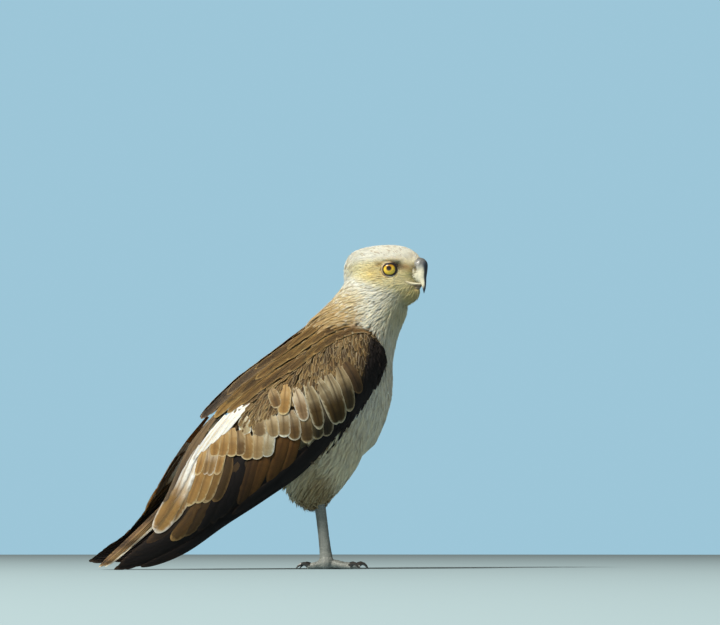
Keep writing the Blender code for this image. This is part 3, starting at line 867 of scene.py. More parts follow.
SKIN_VOXEL = 0.0020
LEG_VOXEL = 0.0011
LEG_COAT = 0.35 * MM
BODY_NODES = ("head", "neck", "trunk", "tail", "thigh_left", "thigh_right", "wing_left_arm", "wing_right_arm")
LEG_NODES = ("tarsus_left", "tarsus_right", "foot_left", "foot_right")
BILL_NODES = ("bill_upper", "bill_lower")
# Where the skin ends down the tail, from ROOT
TAIL_END = -0.222


def tube(path, radii, around):
    """Rings of points round a path, for a closed tube."""
    along = unit(np.gradient(path, axis=0))
    aside = unit(np.cross(along, (0.05, 0.10, 1.0)))
    rise = np.cross(aside, along)
    turn = np.linspace(0, 2 * math.pi, around, endpoint=False)
    spread = aside[:, None] * np.cos(turn)[:, None] + rise[:, None] * np.sin(turn)[:, None]
    return path[:, None] + spread * radii[:, None, None]


def add_closed(bm, rings):
    """Adds the closed shape over rings of points to a mesh in the making."""
    places = rings.reshape(-1, 3)
    verts = [bm.verts.new(place) for place in places]
    for a, b, c in facing_out(places, ring_triangles(*rings.shape[:2])):
        bm.faces.new((verts[a], verts[b], verts[c]))


def brow_ridges(bm):
    for side in SIDES.values():
        rows = through(BROW, 24) * (1, side, 1, 1)
        add_closed(bm, tube(from_head(rows[:, :3]), rows[:, 3], 12))


def bill_collar(bm):
    """A swelling of the skin that carries the feathers out over the base of the bill."""
    rings, _ = bill_surface(BILL_UPPER, 72, 40)
    last = np.flatnonzero(rings.mean(1)[:, 0] > COLLAR_END)[0]
    rings = rings[:last]
    middle = rings.mean(1)[:, None]
    apart = rings - middle
    rings = middle + apart * (1 + COLLAR / np.linalg.norm(apart, axis=2, keepdims=True))
    add_closed(bm, from_head(rings))


def joined_nodes(names):
    """One mesh of several CAD nodes; the tail is kept only as far as its root goes."""
    bm = bmesh.new()
    if "head" in names:
        brow_ridges(bm)
        bill_collar(bm)
    for name in names:
        part = bmesh.new()
        part.from_mesh(frame["nodes"][name].data)
        bmesh.ops.remove_doubles(part, verts=part.verts, dist=1e-6)
        if name == "tail":
            cut = bmesh.ops.bisect_plane(
                part,
                geom=part.verts[:] + part.edges[:] + part.faces[:],
                plane_co=(ROOT[0] + TAIL_END, 0, 0),
                plane_no=(-1, 0, 0),
                clear_outer=True,
            )
            edges = [item for item in cut["geom_cut"] if isinstance(item, bmesh.types.BMEdge)]
            bmesh.ops.contextual_create(part, geom=edges)
        mesh = bpy.data.meshes.new("part")
        part.to_mesh(mesh)
        part.free()
        bm.from_mesh(mesh)
        bpy.data.meshes.remove(mesh)
    mesh = bpy.data.meshes.new("joined")
    bm.to_mesh(mesh)
    bm.free()
    return mesh


def remeshed(mesh, voxel, rounds):
    """The places and triangles of one smooth surface over a mesh of several closed shapes."""
    obj = bpy.data.objects.new("remesh", mesh)
    bpy.context.scene.collection.objects.link(obj)
    remesh = obj.modifiers.new("remesh", "REMESH")
    remesh.mode = "VOXEL"
    remesh.voxel_size = voxel
    relax = obj.modifiers.new("relax", "SMOOTH")
    relax.factor = 0.5
    relax.iterations = rounds
    graph = bpy.context.evaluated_depsgraph_get()
    made = bpy.data.meshes.new_from_object(obj.evaluated_get(graph))
    bpy.data.objects.remove(obj)
    return made


def vertex_normals(mesh):
    normals = np.zeros(len(mesh.vertices) * 3)
    mesh.vertices.foreach_get("normal", normals)
    return normals.reshape(-1, 3)


def lid_angles(turn):
    """Angles off the line of sight of the lids' inner edge and of their dark part's outer edge."""
    ahead, above = np.cos(turn), np.sin(turn)
    inner = 38.2 + 3.2 * ahead - 11.9 * above - 5.6 * above**4
    dark = 54.0 + 8.0 * ahead - 9.0 * above - 8.0 * above**4
    return inner, dark


def eye_clearance(points):
    """Distance of points from the nearer eyeball's middle, and how far they are outside its dark lids."""
    head = to_head(points)
    distance = np.full(len(points), 9.0)
    outside = np.full(len(points), 180.0)
    for side in SIDES.values():
        away, angle, turn = seen_by_eye(head, side)
        near = away < distance
        distance = np.where(near, away, distance)
        outside = np.where(near, angle - lid_angles(turn)[1], outside)
    return distance, outside


def softened(places, triangles, weight, rounds):
    """Places eased towards the middle of their neighbours, by a weight for each."""
    ends = np.vstack([triangles[:, [0, 1]], triangles[:, [1, 2]], triangles[:, [2, 0]]])
    start, end = np.concatenate([ends[:, 0], ends[:, 1]]), np.concatenate([ends[:, 1], ends[:, 0]])
    count = np.bincount(start, minlength=len(places))
    for _ in range(rounds):
        middle = [np.bincount(start, places[end, axis], len(places)) / count for axis in range(3)]
        places = mix(places, np.column_stack(middle), weight)
    return places


def make_skin():
    """One skin over the whole body, inside the solids by the depth of the coat."""
    mesh = remeshed(joined_nodes(BODY_NODES), SKIN_VOXEL, 5)
    places, triangles = mesh_arrays(mesh)
    depth = plumage_at(places)[:, 3]
    sunk = places - vertex_normals(mesh) * depth[:, None]
    # the crease where a thigh leaves the flank is eased out
    flank = 1 - smooth(np.abs(sunk[:, 2] - 0.200), 0.020, 0.045)
    flank *= smooth(np.abs(sunk[:, 1]), 0.020, 0.035) * smooth(sunk[:, 0] - ROOT[0], 0.000, 0.020)
    sunk = softened(sunk, triangles, 0.6 * flank, 60)
    leg_mesh = remeshed(joined_nodes(LEG_NODES), LEG_VOXEL, 3)
    leg_places, leg_triangles = mesh_arrays(leg_mesh)
    leg_sunk = leg_places - vertex_normals(leg_mesh) * LEG_COAT
    leg_sunk[:, 2] = np.maximum(leg_sunk[:, 2], 0)
    return (sunk, triangles), (leg_sunk, leg_triangles)


# ---------------------------------------------------------------- the coat of the body

BODY_RING = (np.array((-1.0, 0.0, 1.0)), np.array((0.0, 1.0, 0.0)))
BODY_STATIONS = np.array((0.0, 0.28, 0.55, 0.80, 1.0))


def strewn(places, triangles, spacing, density, rng):
    """Points strewn over triangles, density of them to a square of the spacing, and each one's triangle."""
    a, b, c = (places[triangles[:, k]] for k in range(3))
    cross = np.cross(b - a, c - a)
    area = np.linalg.norm(cross, axis=1) / 2
    index = np.repeat(np.arange(len(triangles)), rng.poisson(area / spacing**2 * density))
    first, second = rng.random(len(index)), rng.random(len(index))
    flip = first + second > 1
    first[flip], second[flip] = 1 - first[flip], 1 - second[flip]
    points = a[index] + (b - a)[index] * first[:, None] + (c - a)[index] * second[:, None]
    return points, index, unit(cross)


def thinned(points, reach):
    """The numbers of the points that stay when each one kept clears its own reach."""
    tree = point_tree(points)
    alive = np.ones(len(points), bool)
    chosen = []
    for k in range(len(points)):
        if alive[k]:
            chosen.append(k)
            for _, other, _ in tree.find_range(points[k], reach[k]):
                alive[other] = False
    return np.array(chosen)


def seeds_on(places, triangles, rng):
    """Roots strewn over the skin, none nearer to another than the plumage's spacing there."""
    spacing = plumage_at(places[triangles].sum(1) / 3)[:, 2]
    points, index, normals = strewn(places, triangles, spacing, 7.0, rng)
    order = rng.permutation(len(points))
    points, index = points[order], index[order]
    chosen = thinned(points, spacing[index])
    return points[chosen], index[chosen], normals[index[chosen]]


def hidden_under_wings(points):
    """Points of the skin that the wing's own feathers cover."""
    length, width, off = FINDER.locate(points)
    on_face = (off < 0.008) & (width > 0.20) & (width < 0.90) & (length > 0.05)
    sheets = []
    for surface in WINGS.values():
        shares = np.linspace(0.05, 0.96, 40), np.linspace(0.14, 0.93, 20)
        lengths, widths = np.meshgrid(*shares, indexing="ij")
        grid = surface.place(lengths, widths)
        index = np.arange(lengths.size).reshape(lengths.shape)
        quads = np.stack([index[:-1, :-1], index[1:, :-1], index[1:, 1:], index[:-1, 1:]], -1)
        sheets.append(BVHTree.FromPolygons(grid.reshape(-1, 3).tolist(), quads.reshape(-1, 4).tolist()))
    covered = np.zeros(len(points), bool)
    for k, point in enumerate(points):
        sheet = sheets[0] if point[1] > 0 else sheets[1]
        outwards = Vector((0.15, np.sign(point[1]), 0.25)).normalized()
        hit = sheet.ray_cast(Vector(point) - outwards * 0.002, outwards, 0.06)
        covered[k] = hit[0] is not None
    return on_face | covered


def grown(tree, roots, normals, kinds, rng):
    """Middle lines of vanes that follow the skin from their roots, with normals and crossways."""
    length, _, _, depth, stand, _ = kinds.T
    heading = lie_of_coat(roots, normals)
    sway = np.cross(normals, heading)
    heading = unit(heading + sway * rng.normal(0, 0.13, len(roots))[:, None])
    steps = np.diff(BODY_STATIONS)
    place, normal = roots.copy(), normals.copy()
    line, ups, sides = [place.copy()], [normal.copy()], [np.cross(normal, heading)]
    for step in steps:
        ahead = place + heading * (length * step)[:, None]
        place, below = nearest(tree, ahead)
        normal = unit(normal + below)
        heading = unit(0.75 * heading + 0.25 * lie_of_coat(place, normal))
        heading = unit(heading - normal * dot(heading, normal)[:, None])
        line.append(place.copy())
        ups.append(normal.copy())
        sides.append(np.cross(normal, heading))
    line, ups, sides = (np.stack(part, 1) for part in (line, ups, sides))
    share = BODY_STATIONS[None]
    rise = depth[:, None] * (0.10 + 0.95 * share ** 0.8) * rng.uniform(0.93, 1.05, len(roots))[:, None]
    rise = rise + (stand * length * rng.uniform(0.2, 0.9, len(roots)))[:, None] * share**2
    return line + ups * rise[..., None], ups, sides


def tufts(coat, lines, ups, sides, kinds, colours, tips, root_map, rng):
    """Adds vanes of three edges each: a left one, a raised shaft and a right one."""
    c, s = BODY_RING
    length, half, _, _, _, blunt = kinds.T
    share = BODY_STATIONS[None]
    pointed = np.sin(np.pi * np.clip(0.20 + 0.80 * share, 0, 1)) ** 0.85
    rounded = np.minimum(1, 0.45 + 1.6 * share) * np.sqrt(np.clip(1 - share**5, 0, 1))
    width = pointed * (1 - blunt[:, None]) + rounded * blunt[:, None]
    width = half[:, None] * np.maximum(width, 0.04) * rng.uniform(0.8, 1.2, len(half))[:, None]
    camber = 0.20 * width
    roll = rng.normal(0, 0.05, len(half))[:, None]
    places = (
        lines[:, :, None]
        + sides[:, :, None] * (width[..., None] * c)[..., None]
        + ups[:, :, None] * (camber[..., None] * s + roll[..., None] * width[..., None] * c)[..., None]
    )
    along = np.broadcast_to((length[:, None] * share)[..., None], places.shape[:3])
    across = width[..., None] * c
    share3 = np.broadcast_to(share[..., None], places.shape[:3])
    shade = mix(colours[:, None, None], tips[:, None, None], smooth(share3, 0.55, 1.0))
    patch = np.stack([c * 0.0014 + 0 * share3, (share3 - 0.5) * 0.0028], -1)
    tilt = rng.normal(0, 0.08, (len(half), 1, 1, 1)) * sides[:, :, None]
    shine = ups[:, :, None] + sides[:, :, None] * (0.30 * c)[:, None] + tilt
    coat.add(places, shine, shade, along, across, root_map[:, None, None] + patch, rng, under=(2,))


def feather_colours(points, rng):
    """Base and tip colours: the markings with their painted shade, with streaks and pale or dark tips where
    the bird has them.
    """
    base = markings_and_shade(points)
    head = to_head(points)
    share, dorsal, _ = SPINE_LINE.locate(points)
    chance = rng.random(len(points))
    light = base.mean(1)
    base = base * rng.uniform(0.90, 1.08, (len(points), 1))
    tips = base.copy()
    # brown feathers have paler tips; some are darker all through
    brown = smooth(light, 0.30, 0.16) * smooth(np.linalg.norm(head, axis=1), 0.055, 0.070)
    dark = smooth(light, 0.04, 0.02)
    tips = mix(tips, PALE_EDGE, 0.75 * brown * (1 - dark) * (chance > 0.45))
    tips = mix(tips, TAN, 0.6 * brown * (1 - dark) * (chance <= 0.45))
    base = mix(base, UMBER, 0.6 * brown * (1 - dark) * (chance < 0.25))
    # streaks on crown, nape and hind neck
    crown = smooth(head[:, 2], 0.012, 0.030) * smooth(head[:, 0], 0.052, 0.040)
    streak = (chance < 0.13) * crown * (light > 0.5)
    base, tips = mix(base, TAN, 0.5 * streak), mix(tips, RUFOUS, 0.55 * streak)
    nape = smooth(head[:, 0], -0.020, -0.036) * smooth(head[:, 2], -0.02, 0.01) * (light > 0.5)
    tips = mix(tips, UMBER, 0.75 * nape * (chance < 0.16))
    tips = mix(tips, BUFF, 0.55 * nape * (chance > 0.72))
    hind = smooth(share, 0.0, 0.05) * smooth(share, 0.24, 0.15) * smooth(dorsal, 0.1, 0.5)
    tips = mix(tips, RUFOUS, 0.7 * hind * (chance < 0.30))
    tips = mix(tips, CREAM, 0.8 * hind * (chance > 0.62))
    # thin dark streaks on the upper breast, faint spots on the belly
    breast = smooth(dorsal, 0.1, -0.3) * smooth(share, 0.0, 0.06) * smooth(share, 0.42, 0.25)
    tips = mix(tips, UMBER, 0.7 * breast * (chance < 0.05))
    belly = smooth(dorsal, 0.2, -0.2) * smooth(share, 0.25, 0.35) * (light > 0.5)
    tips = mix(tips, TAN, 0.35 * belly * (chance < 0.07))
    tips = mix(tips, BUFF, 0.20 * belly * (chance > 0.80))
    apart, _ = thigh_near(points)
    trousers = (1 - smooth(apart, 0.02, 0.04)) * smooth(points[:, 2], 0.150, 0.110)
    tips = mix(tips, UMBER, 0.6 * trousers * (chance < 0.35))
    return base, tips


def skin_map(places, triangles):
    """An unwrap of the skin's own shape, as corners for each triangle."""
    mesh = bpy.data.meshes.new("unwrap")
    mesh.from_pydata(places.tolist(), [], triangles.tolist())
    obj = bpy.data.objects.new("unwrap", mesh)
    bpy.context.scene.collection.objects.link(obj)
    bpy.context.view_layer.objects.active = obj
    obj.select_set(True)
    mesh.uv_layers.new(name="OFBake")
    bpy.ops.object.mode_set(mode="EDIT")
    bpy.ops.mesh.select_all(action="SELECT")
    bpy.ops.uv.smart_project(angle_limit=math.radians(66), island_margin=0.003)
    bpy.ops.object.mode_set(mode="OBJECT")
    corners = np.zeros(len(triangles) * 6)
    mesh.uv_layers["OFBake"].data.foreach_get("uv", corners)
    bpy.data.objects.remove(obj)
    return corners.reshape(-1, 3, 2)


def coat_regions(points):
    """Which piece of the coat each root belongs to."""
    head = to_head(points)
    share, dorsal, _ = SPINE_LINE.locate(points)
    apart, _ = thigh_near(points)
    region = np.where(dorsal > 0.05, "coat_back", "coat_breast").astype(object)
    region[share < 0.13] = "coat_neck"
    region[(apart < 0.034) & (points[:, 2] < 0.19)] = "coat_thighs"
    region[(head[:, 0] - 0.3 * head[:, 2] > -0.050) & (points[:, 2] > 0.345)] = "coat_head"
    return region


def bare_places(points):
    """Where no feather grows: the eyes with their dark lids, and the bill with its cere."""
    distance, outside = eye_clearance(points)
    on_eye = (distance < EYE_RADIUS + 0.0006) | ((outside < 4) & (distance < 0.020))
    head = to_head(points)
    on_cere = (head[:, 0] > 0.0575 + 0.15 * head[:, 2]) & (head[:, 2] > -0.016)
    return on_eye | on_cere | near_bill(points, 0.0004)


def over_a_wing(roots, tips, kinds):
    """Vanes of the body that run out over a wing from below it, or over the scapulars from the back."""
    length, width, off = FINDER.locate(tips)
    from_below = (off < 0.0015) & (FINDER.locate(roots)[2] > 0.0030) & (roots[:, 2] < 0.30)
    by_scapulars = (off < 0.010) & (width < 0.12) & (np.abs(length - 0.40) < 0.12)
    return from_below | (by_scapulars & (kinds[:, 3] > 0.004))


# The share of its length that is left of a vane that would run out over a wing
CUT_SHORT = 0.4


def dress_body(skin, corners, rng):
    tree = search_tree([skin])
    points, faces, normals = seeds_on(*skin, rng)
    keep = ~(bare_places(points) | hidden_under_wings(points))
    points, faces, normals = points[keep], faces[keep], normals[keep]
    more, more_normals = lid_seeds(rng)
    points, normals = np.vstack([points, more]), np.vstack([normals, more_normals])
    faces = np.concatenate([faces, [tree.find_nearest(p)[2] for p in more]])
    lids = [lid_ring(side, outer=True)[:2] for side in SIDES.values()]
    bill = mesh_arrays(joined_nodes(BILL_NODES))
    tree = search_tree([skin, *lids])
    lore_bristles(search_tree([skin, bill]), points, faces, normals, corners, rng)
    kinds = plumage_at(points)
    kinds[:, 0] *= rng.uniform(0.85, 1.12, len(points))
    lines, ups, sides = grown(tree, points, normals, kinds, rng)
    crossing = over_a_wing(points, lines[:, -1], kinds)
    kinds[crossing, 0] *= CUT_SHORT
    lines[crossing] = points[crossing, None] + CUT_SHORT * (lines[crossing] - points[crossing, None])
    base, tips = feather_colours(lines[:, 2], rng)
    root_map = corners[faces].mean(1)
    regions = coat_regions(points)
    for name in sorted(set(regions)):
        mine = regions == name
        slot = "brown_feathers" if name == "coat_back" else "white_feathers"
        coat = Coat(name, slot)
        tufts(
            coat, lines[mine], ups[mine], sides[mine], kinds[mine],
            base[mine], tips[mine], root_map[mine], rng,
        )
        coat.build(FEATHER)


def lid_seeds(rng):
    """Roots of the small feathers that cover the upper lids."""
    found, turned = [], []
    for side in SIDES.values():
        places, triangles, _ = lid_ring(side, outer=True)
        points, _, normals = seeds_on(places, triangles, rng)
        away, angle, turn = seen_by_eye(to_head(points), side)
        keep = (angle > lid_angles(turn)[1] + 2.5) & (np.sin(turn) > 0.0) & (away > EYE_RADIUS + 0.0002)
        found.append(points[keep])
        turned.append(normals[keep])
    return np.vstack(found), np.vstack(turned)


def lore_bristles(tree, points, faces, normals, corners, rng):
    """Fine bristles that run forwards from the lores over the base of the bill."""
    head = to_head(points)
    fore = (head[:, 0] > 0.0440) & (head[:, 2] > -0.0150) & (head[:, 2] < 0.0165)
    picked = np.flatnonzero(fore & near_bill(points, 0.0045))
    picked = rng.choice(picked, min(len(picked), 2600), replace=False)
    roots, count = points[picked], len(picked)
    over = to_head(roots)
    aim = np.column_stack([np.ones(count), 0 * over[:, 1], -0.25 - 12 * over[:, 2]])
    aim = unit(unit(aim) + rng.normal(0, 0.20, (count, 3))) @ head_turn().T
    length = rng.uniform(4.5, 9.0, count) * MM
    place, normal = roots.copy(), normals[picked].copy()
    line, ups, sides = [], [], []
    for share in BODY_STATIONS:
        ahead = place + aim * (length * (share - (BODY_STATIONS[len(line) - 1] if line else 0)))[:, None]
        place, below = nearest(tree, ahead)
        normal = unit(normal + below)
        aim = unit(aim - 0.7 * normal * dot(aim, normal)[:, None])
        line.append(place + normal * (0.0003 + 0.0007 * share))
        ups.append(normal)
        sides.append(unit(np.cross(normal, aim)))
    line, ups, sides = (np.stack(part, 1) for part in (line, ups, sides))
    kinds = np.tile((0.0, 0.00032, 0, 0, 0, 0.0), (count, 1))
    kinds[:, 0] = length
    base = markings_and_shade(roots) * rng.uniform(0.7, 1.0, (count, 1))
    tips = mix(base, (0.50, 0.46, 0.36), 0.8)
    tips = mix(tips, UMBER, 0.8 * (rng.random(count) < 0.25))
    coat = Coat("coat_bristles", "white_feathers")
    tufts(coat, line, ups, sides, kinds, base, tips, corners[faces[picked]].mean(1), rng)
    coat.build(FEATHER)


def near_bill(points, reach):
    """Whether points are within reach of the bill."""
    tree = search_tree([mesh_arrays(joined_nodes(BILL_NODES))])
    return np.array([tree.find_nearest(p, reach)[0] is not None for p in points])


# ---------------------------------------------------------------- large vanes on wings and tail


def vane_ring(columns):
    """Places across a large vane, over the top and back under it, with 1 above and -1 below."""
    over = np.linspace(-1, 1, columns)
    under = over[-2:0:-1]
    across = np.concatenate([over, under])
    face = np.concatenate([[0], np.ones(columns - 2), [0], -np.ones(columns - 2)])
    return across, face


def over_vanes(share, across, shape):
    """Shares along a vane and across it, for every point of several vanes."""
    return np.broadcast_to(share[None, :, None], shape), np.broadcast_to(across, shape)


def vane_outline(share, blunt, base, rng, ragged):
    """Half width along a vane as a share of its widest, with a tip from pointed (0) to round (1)."""
    count = len(blunt)
    power = (1.6 + 3.4 * blunt)[:, None]
    tip = np.clip(1 - np.clip((share[None] - 0.45) / 0.55, 0, 1) ** power, 0, 1) ** 0.55
    root = base + (1 - base) * smooth(share, 0.0, 0.35)
    width = root[None] * tip
    splits = rng.random((count, len(share))) < 0.12
    return np.maximum(width * (1 - ragged * splits * rng.random((count, len(share)))), 0.03)


class Row:
    """Feathers of a wing row, each from a root to a tip, in shares of the wing's length and width.

    keys: root, tip and width in millimetres, of feathers the rest are drawn through. lift: how far roots
    and tips stand out, and layer: how much further each next feather does, in millimetres. blunt: from
    pointed (0) to round (1). edge: how much rim shows. pale: how much of the rim's colour covers the root.
    tuck: how far the tips on the left wing are moved.
    """

    def __init__(
        self, count, keys, colours, lift, layer=0.25, blunt=0.8, edge=0.5, stations=22, columns=11,
        ragged=0.10, piece="coverts", pale=0.0, vary=0.12, tuck=(0.0, 0.0),
    ):
        self.count, self.colours = count, colours
        keys = np.array(keys, float)
        self.keys = through(keys, count) if len(keys) > 1 and count != len(keys) else keys
        self.lift, self.layer, self.blunt, self.edge = lift, layer, blunt, edge
        self.stations, self.columns, self.ragged = stations, columns, ragged
        self.piece, self.pale, self.vary, self.tuck = piece, pale, vary, tuck

    def colour_rows(self):
        """Base, edge and shaft colours for each feather."""
        rows = np.array([sum((list(c) for c in triple), []) for triple in self.colours], float)
        if len(rows) == 1:
            return np.repeat(rows, self.count, 0)
        at = np.linspace(0, len(rows) - 1, self.count)
        low = np.minimum(at.astype(int), len(rows) - 2)
        share = (at - low)[:, None]
        return rows[low] * (1 - share) + rows[low + 1] * share


# How far a large vane is turned about its shaft, and its thickness at the root
VANE_ROLL = 0.05
VANE_THICK = 0.00022


def lay_row(coat, surface, row, rng):
    """Builds one row on a wing. Vanes later in the row lie over earlier ones if layer is positive."""
    count = row.count
    keys = row.keys + rng.normal(0, 0.004, (count, 5)) * (1, 1, 1, 1.6, 0)
    if surface.side == SIDES["left"]:
        keys[:, 2:4] += row.tuck
    share = 1 - (1 - np.linspace(0, 1, row.stations)) ** 1.5
    start, end, wide = keys[:, None, 0:2], keys[:, None, 2:4], keys[:, 4] * MM / 2
    path = start + (end - start) * share[None, :, None]
    length, width = path[..., 0], path[..., 1]
    middle = surface.place(length, width)
    along = unit(np.gradient(middle, axis=1))
    ups = surface.normal(length, width)
    sides = unit(np.cross(ups, along))
    across, face = vane_ring(row.columns)
    half = wide[:, None] * vane_outline(share, np.full(count, row.blunt), 0.55, rng, row.ragged)
    offset = (half[..., None] * across)[..., None] * sides[:, :, None]
    at_l, at_w = surface.shift(length[..., None], width[..., None], offset)
    low, high = row.lift
    order = (np.arange(count) * row.layer * MM)[:, None]
    rise = (low + (high - low) * share[None] ** 0.8) * MM + order
    rise = rise + rng.uniform(-0.10, 0.10, (count, 1)) * MM
    camber = 0.10 * half[..., None] * (1 - across**2)
    tilt = VANE_ROLL * half[..., None] * across
    thick = VANE_THICK * face * (1 - 0.5 * share[None, :, None])
    height = rise[..., None] + camber + tilt + thick
    face_up = surface.normal(at_l, at_w)
    places = surface.place(at_l, at_w) + face_up * height[..., None]
    share3, across3 = over_vanes(share, across, places.shape[:3])
    shade = vane_shade(row.colour_rows(), row.edge, share3, across3, rng, row.pale, row.vary)
    size = np.linalg.norm(np.diff(middle, axis=1), axis=2).sum(1)
    along_m = size[:, None, None] * share3
    patch = patch_map(keys[:, :2], share3, across3, 0.0035, 0.014)
    shine = (face_up + sides[:, :, None] * (0.22 * across)[:, None]) * np.where(face < 0, -1, 1)[:, None]
    coat.add(places, shine, shade, along_m, half[..., None] * across, patch, rng)


def patch_map(root, share, across, half, size):
    """A patch for each vane at its root's place on the wing's own unwrap, by its half width and length."""
    corner = 0.03 + 0.94 * np.clip(root, 0, 1)
    return corner[:, None, None] + np.stack([across * half, (share - 0.5) * size], -1)


def vane_shade(colours, edge, share, across, rng, pale=0.0, vary=0.12):
    """A vane's colours: a pale rim, a dark middle and shaft, streaks, and a root as pale as asked."""
    base, rim, shaft = colours[:, 0:3], colours[:, 3:6], colours[:, 6:9]
    tone = rng.uniform(1 - vary, 1 + vary, (len(base), 1))
    shade = (base * tone)[:, None, None]
    streak = rng.normal(0, 1, (len(base), 1, share.shape[2])) + 0.6 * rng.normal(0, 1, share.shape[:2] + (1,))
    middle = np.exp(-((across / 0.50) ** 2)) * smooth(share, 0.15, 0.60)
    shade = mix(shade, shaft[:, None, None], np.clip(0.50 * middle + 0.12 * streak, 0, 1))
    tip = np.clip((share - 0.80) / 0.20, 0, 1)
    margin = np.clip(np.sqrt(np.abs(across) ** 4 + tip**3), 0, 1)
    wobble = 0.06 * rng.normal(0, 1, share.shape[:2])[..., None]
    light = edge * smooth(margin + wobble, 0.50, 0.92)
    light = np.maximum(light, pale * smooth(share, 0.62, 0.25) * (0.7 + 0.3 * np.clip(streak, -1, 1)))
    shade = mix(shade, rim[:, None, None], light)
    line = np.exp(-((across / 0.13) ** 2)) * (1 - 0.6 * share)
    return mix(shade, shaft[:, None, None], 0.80 * line)


BROWN_SET = (BROWN, PALE_EDGE, UMBER)
OCHRE_SET = (OCHRE, (0.40, 0.26, 0.10), (0.050, 0.028, 0.010))
MANTLE_SET = ((0.085, 0.050, 0.019), (0.34, 0.21, 0.08), (0.030, 0.018, 0.009))
TAN_SET = ((0.31, 0.18, 0.060), (0.66, 0.52, 0.30), (0.14, 0.075, 0.025))
# near-black remiges and coverts: partly their own dark brown, partly painted shade of the underturned wing
# edge and of the shadowed gap among the secondaries
DARK_SHADED_SET = (BLACK, (0.030, 0.020, 0.014), BLACK)
SNOW_SET = (SNOW, WHITE, (0.74, 0.64, 0.46))
WHITE_EDGED = ((0.085, 0.052, 0.018), (0.82, 0.70, 0.46), (0.018, 0.010, 0.004))
PALE_GREY = ((0.40, 0.34, 0.22), (0.80, 0.76, 0.64), (0.22, 0.15, 0.07))
WARM_SET = ((0.105, 0.050, 0.014), (0.050, 0.028, 0.010), (0.045, 0.022, 0.008))

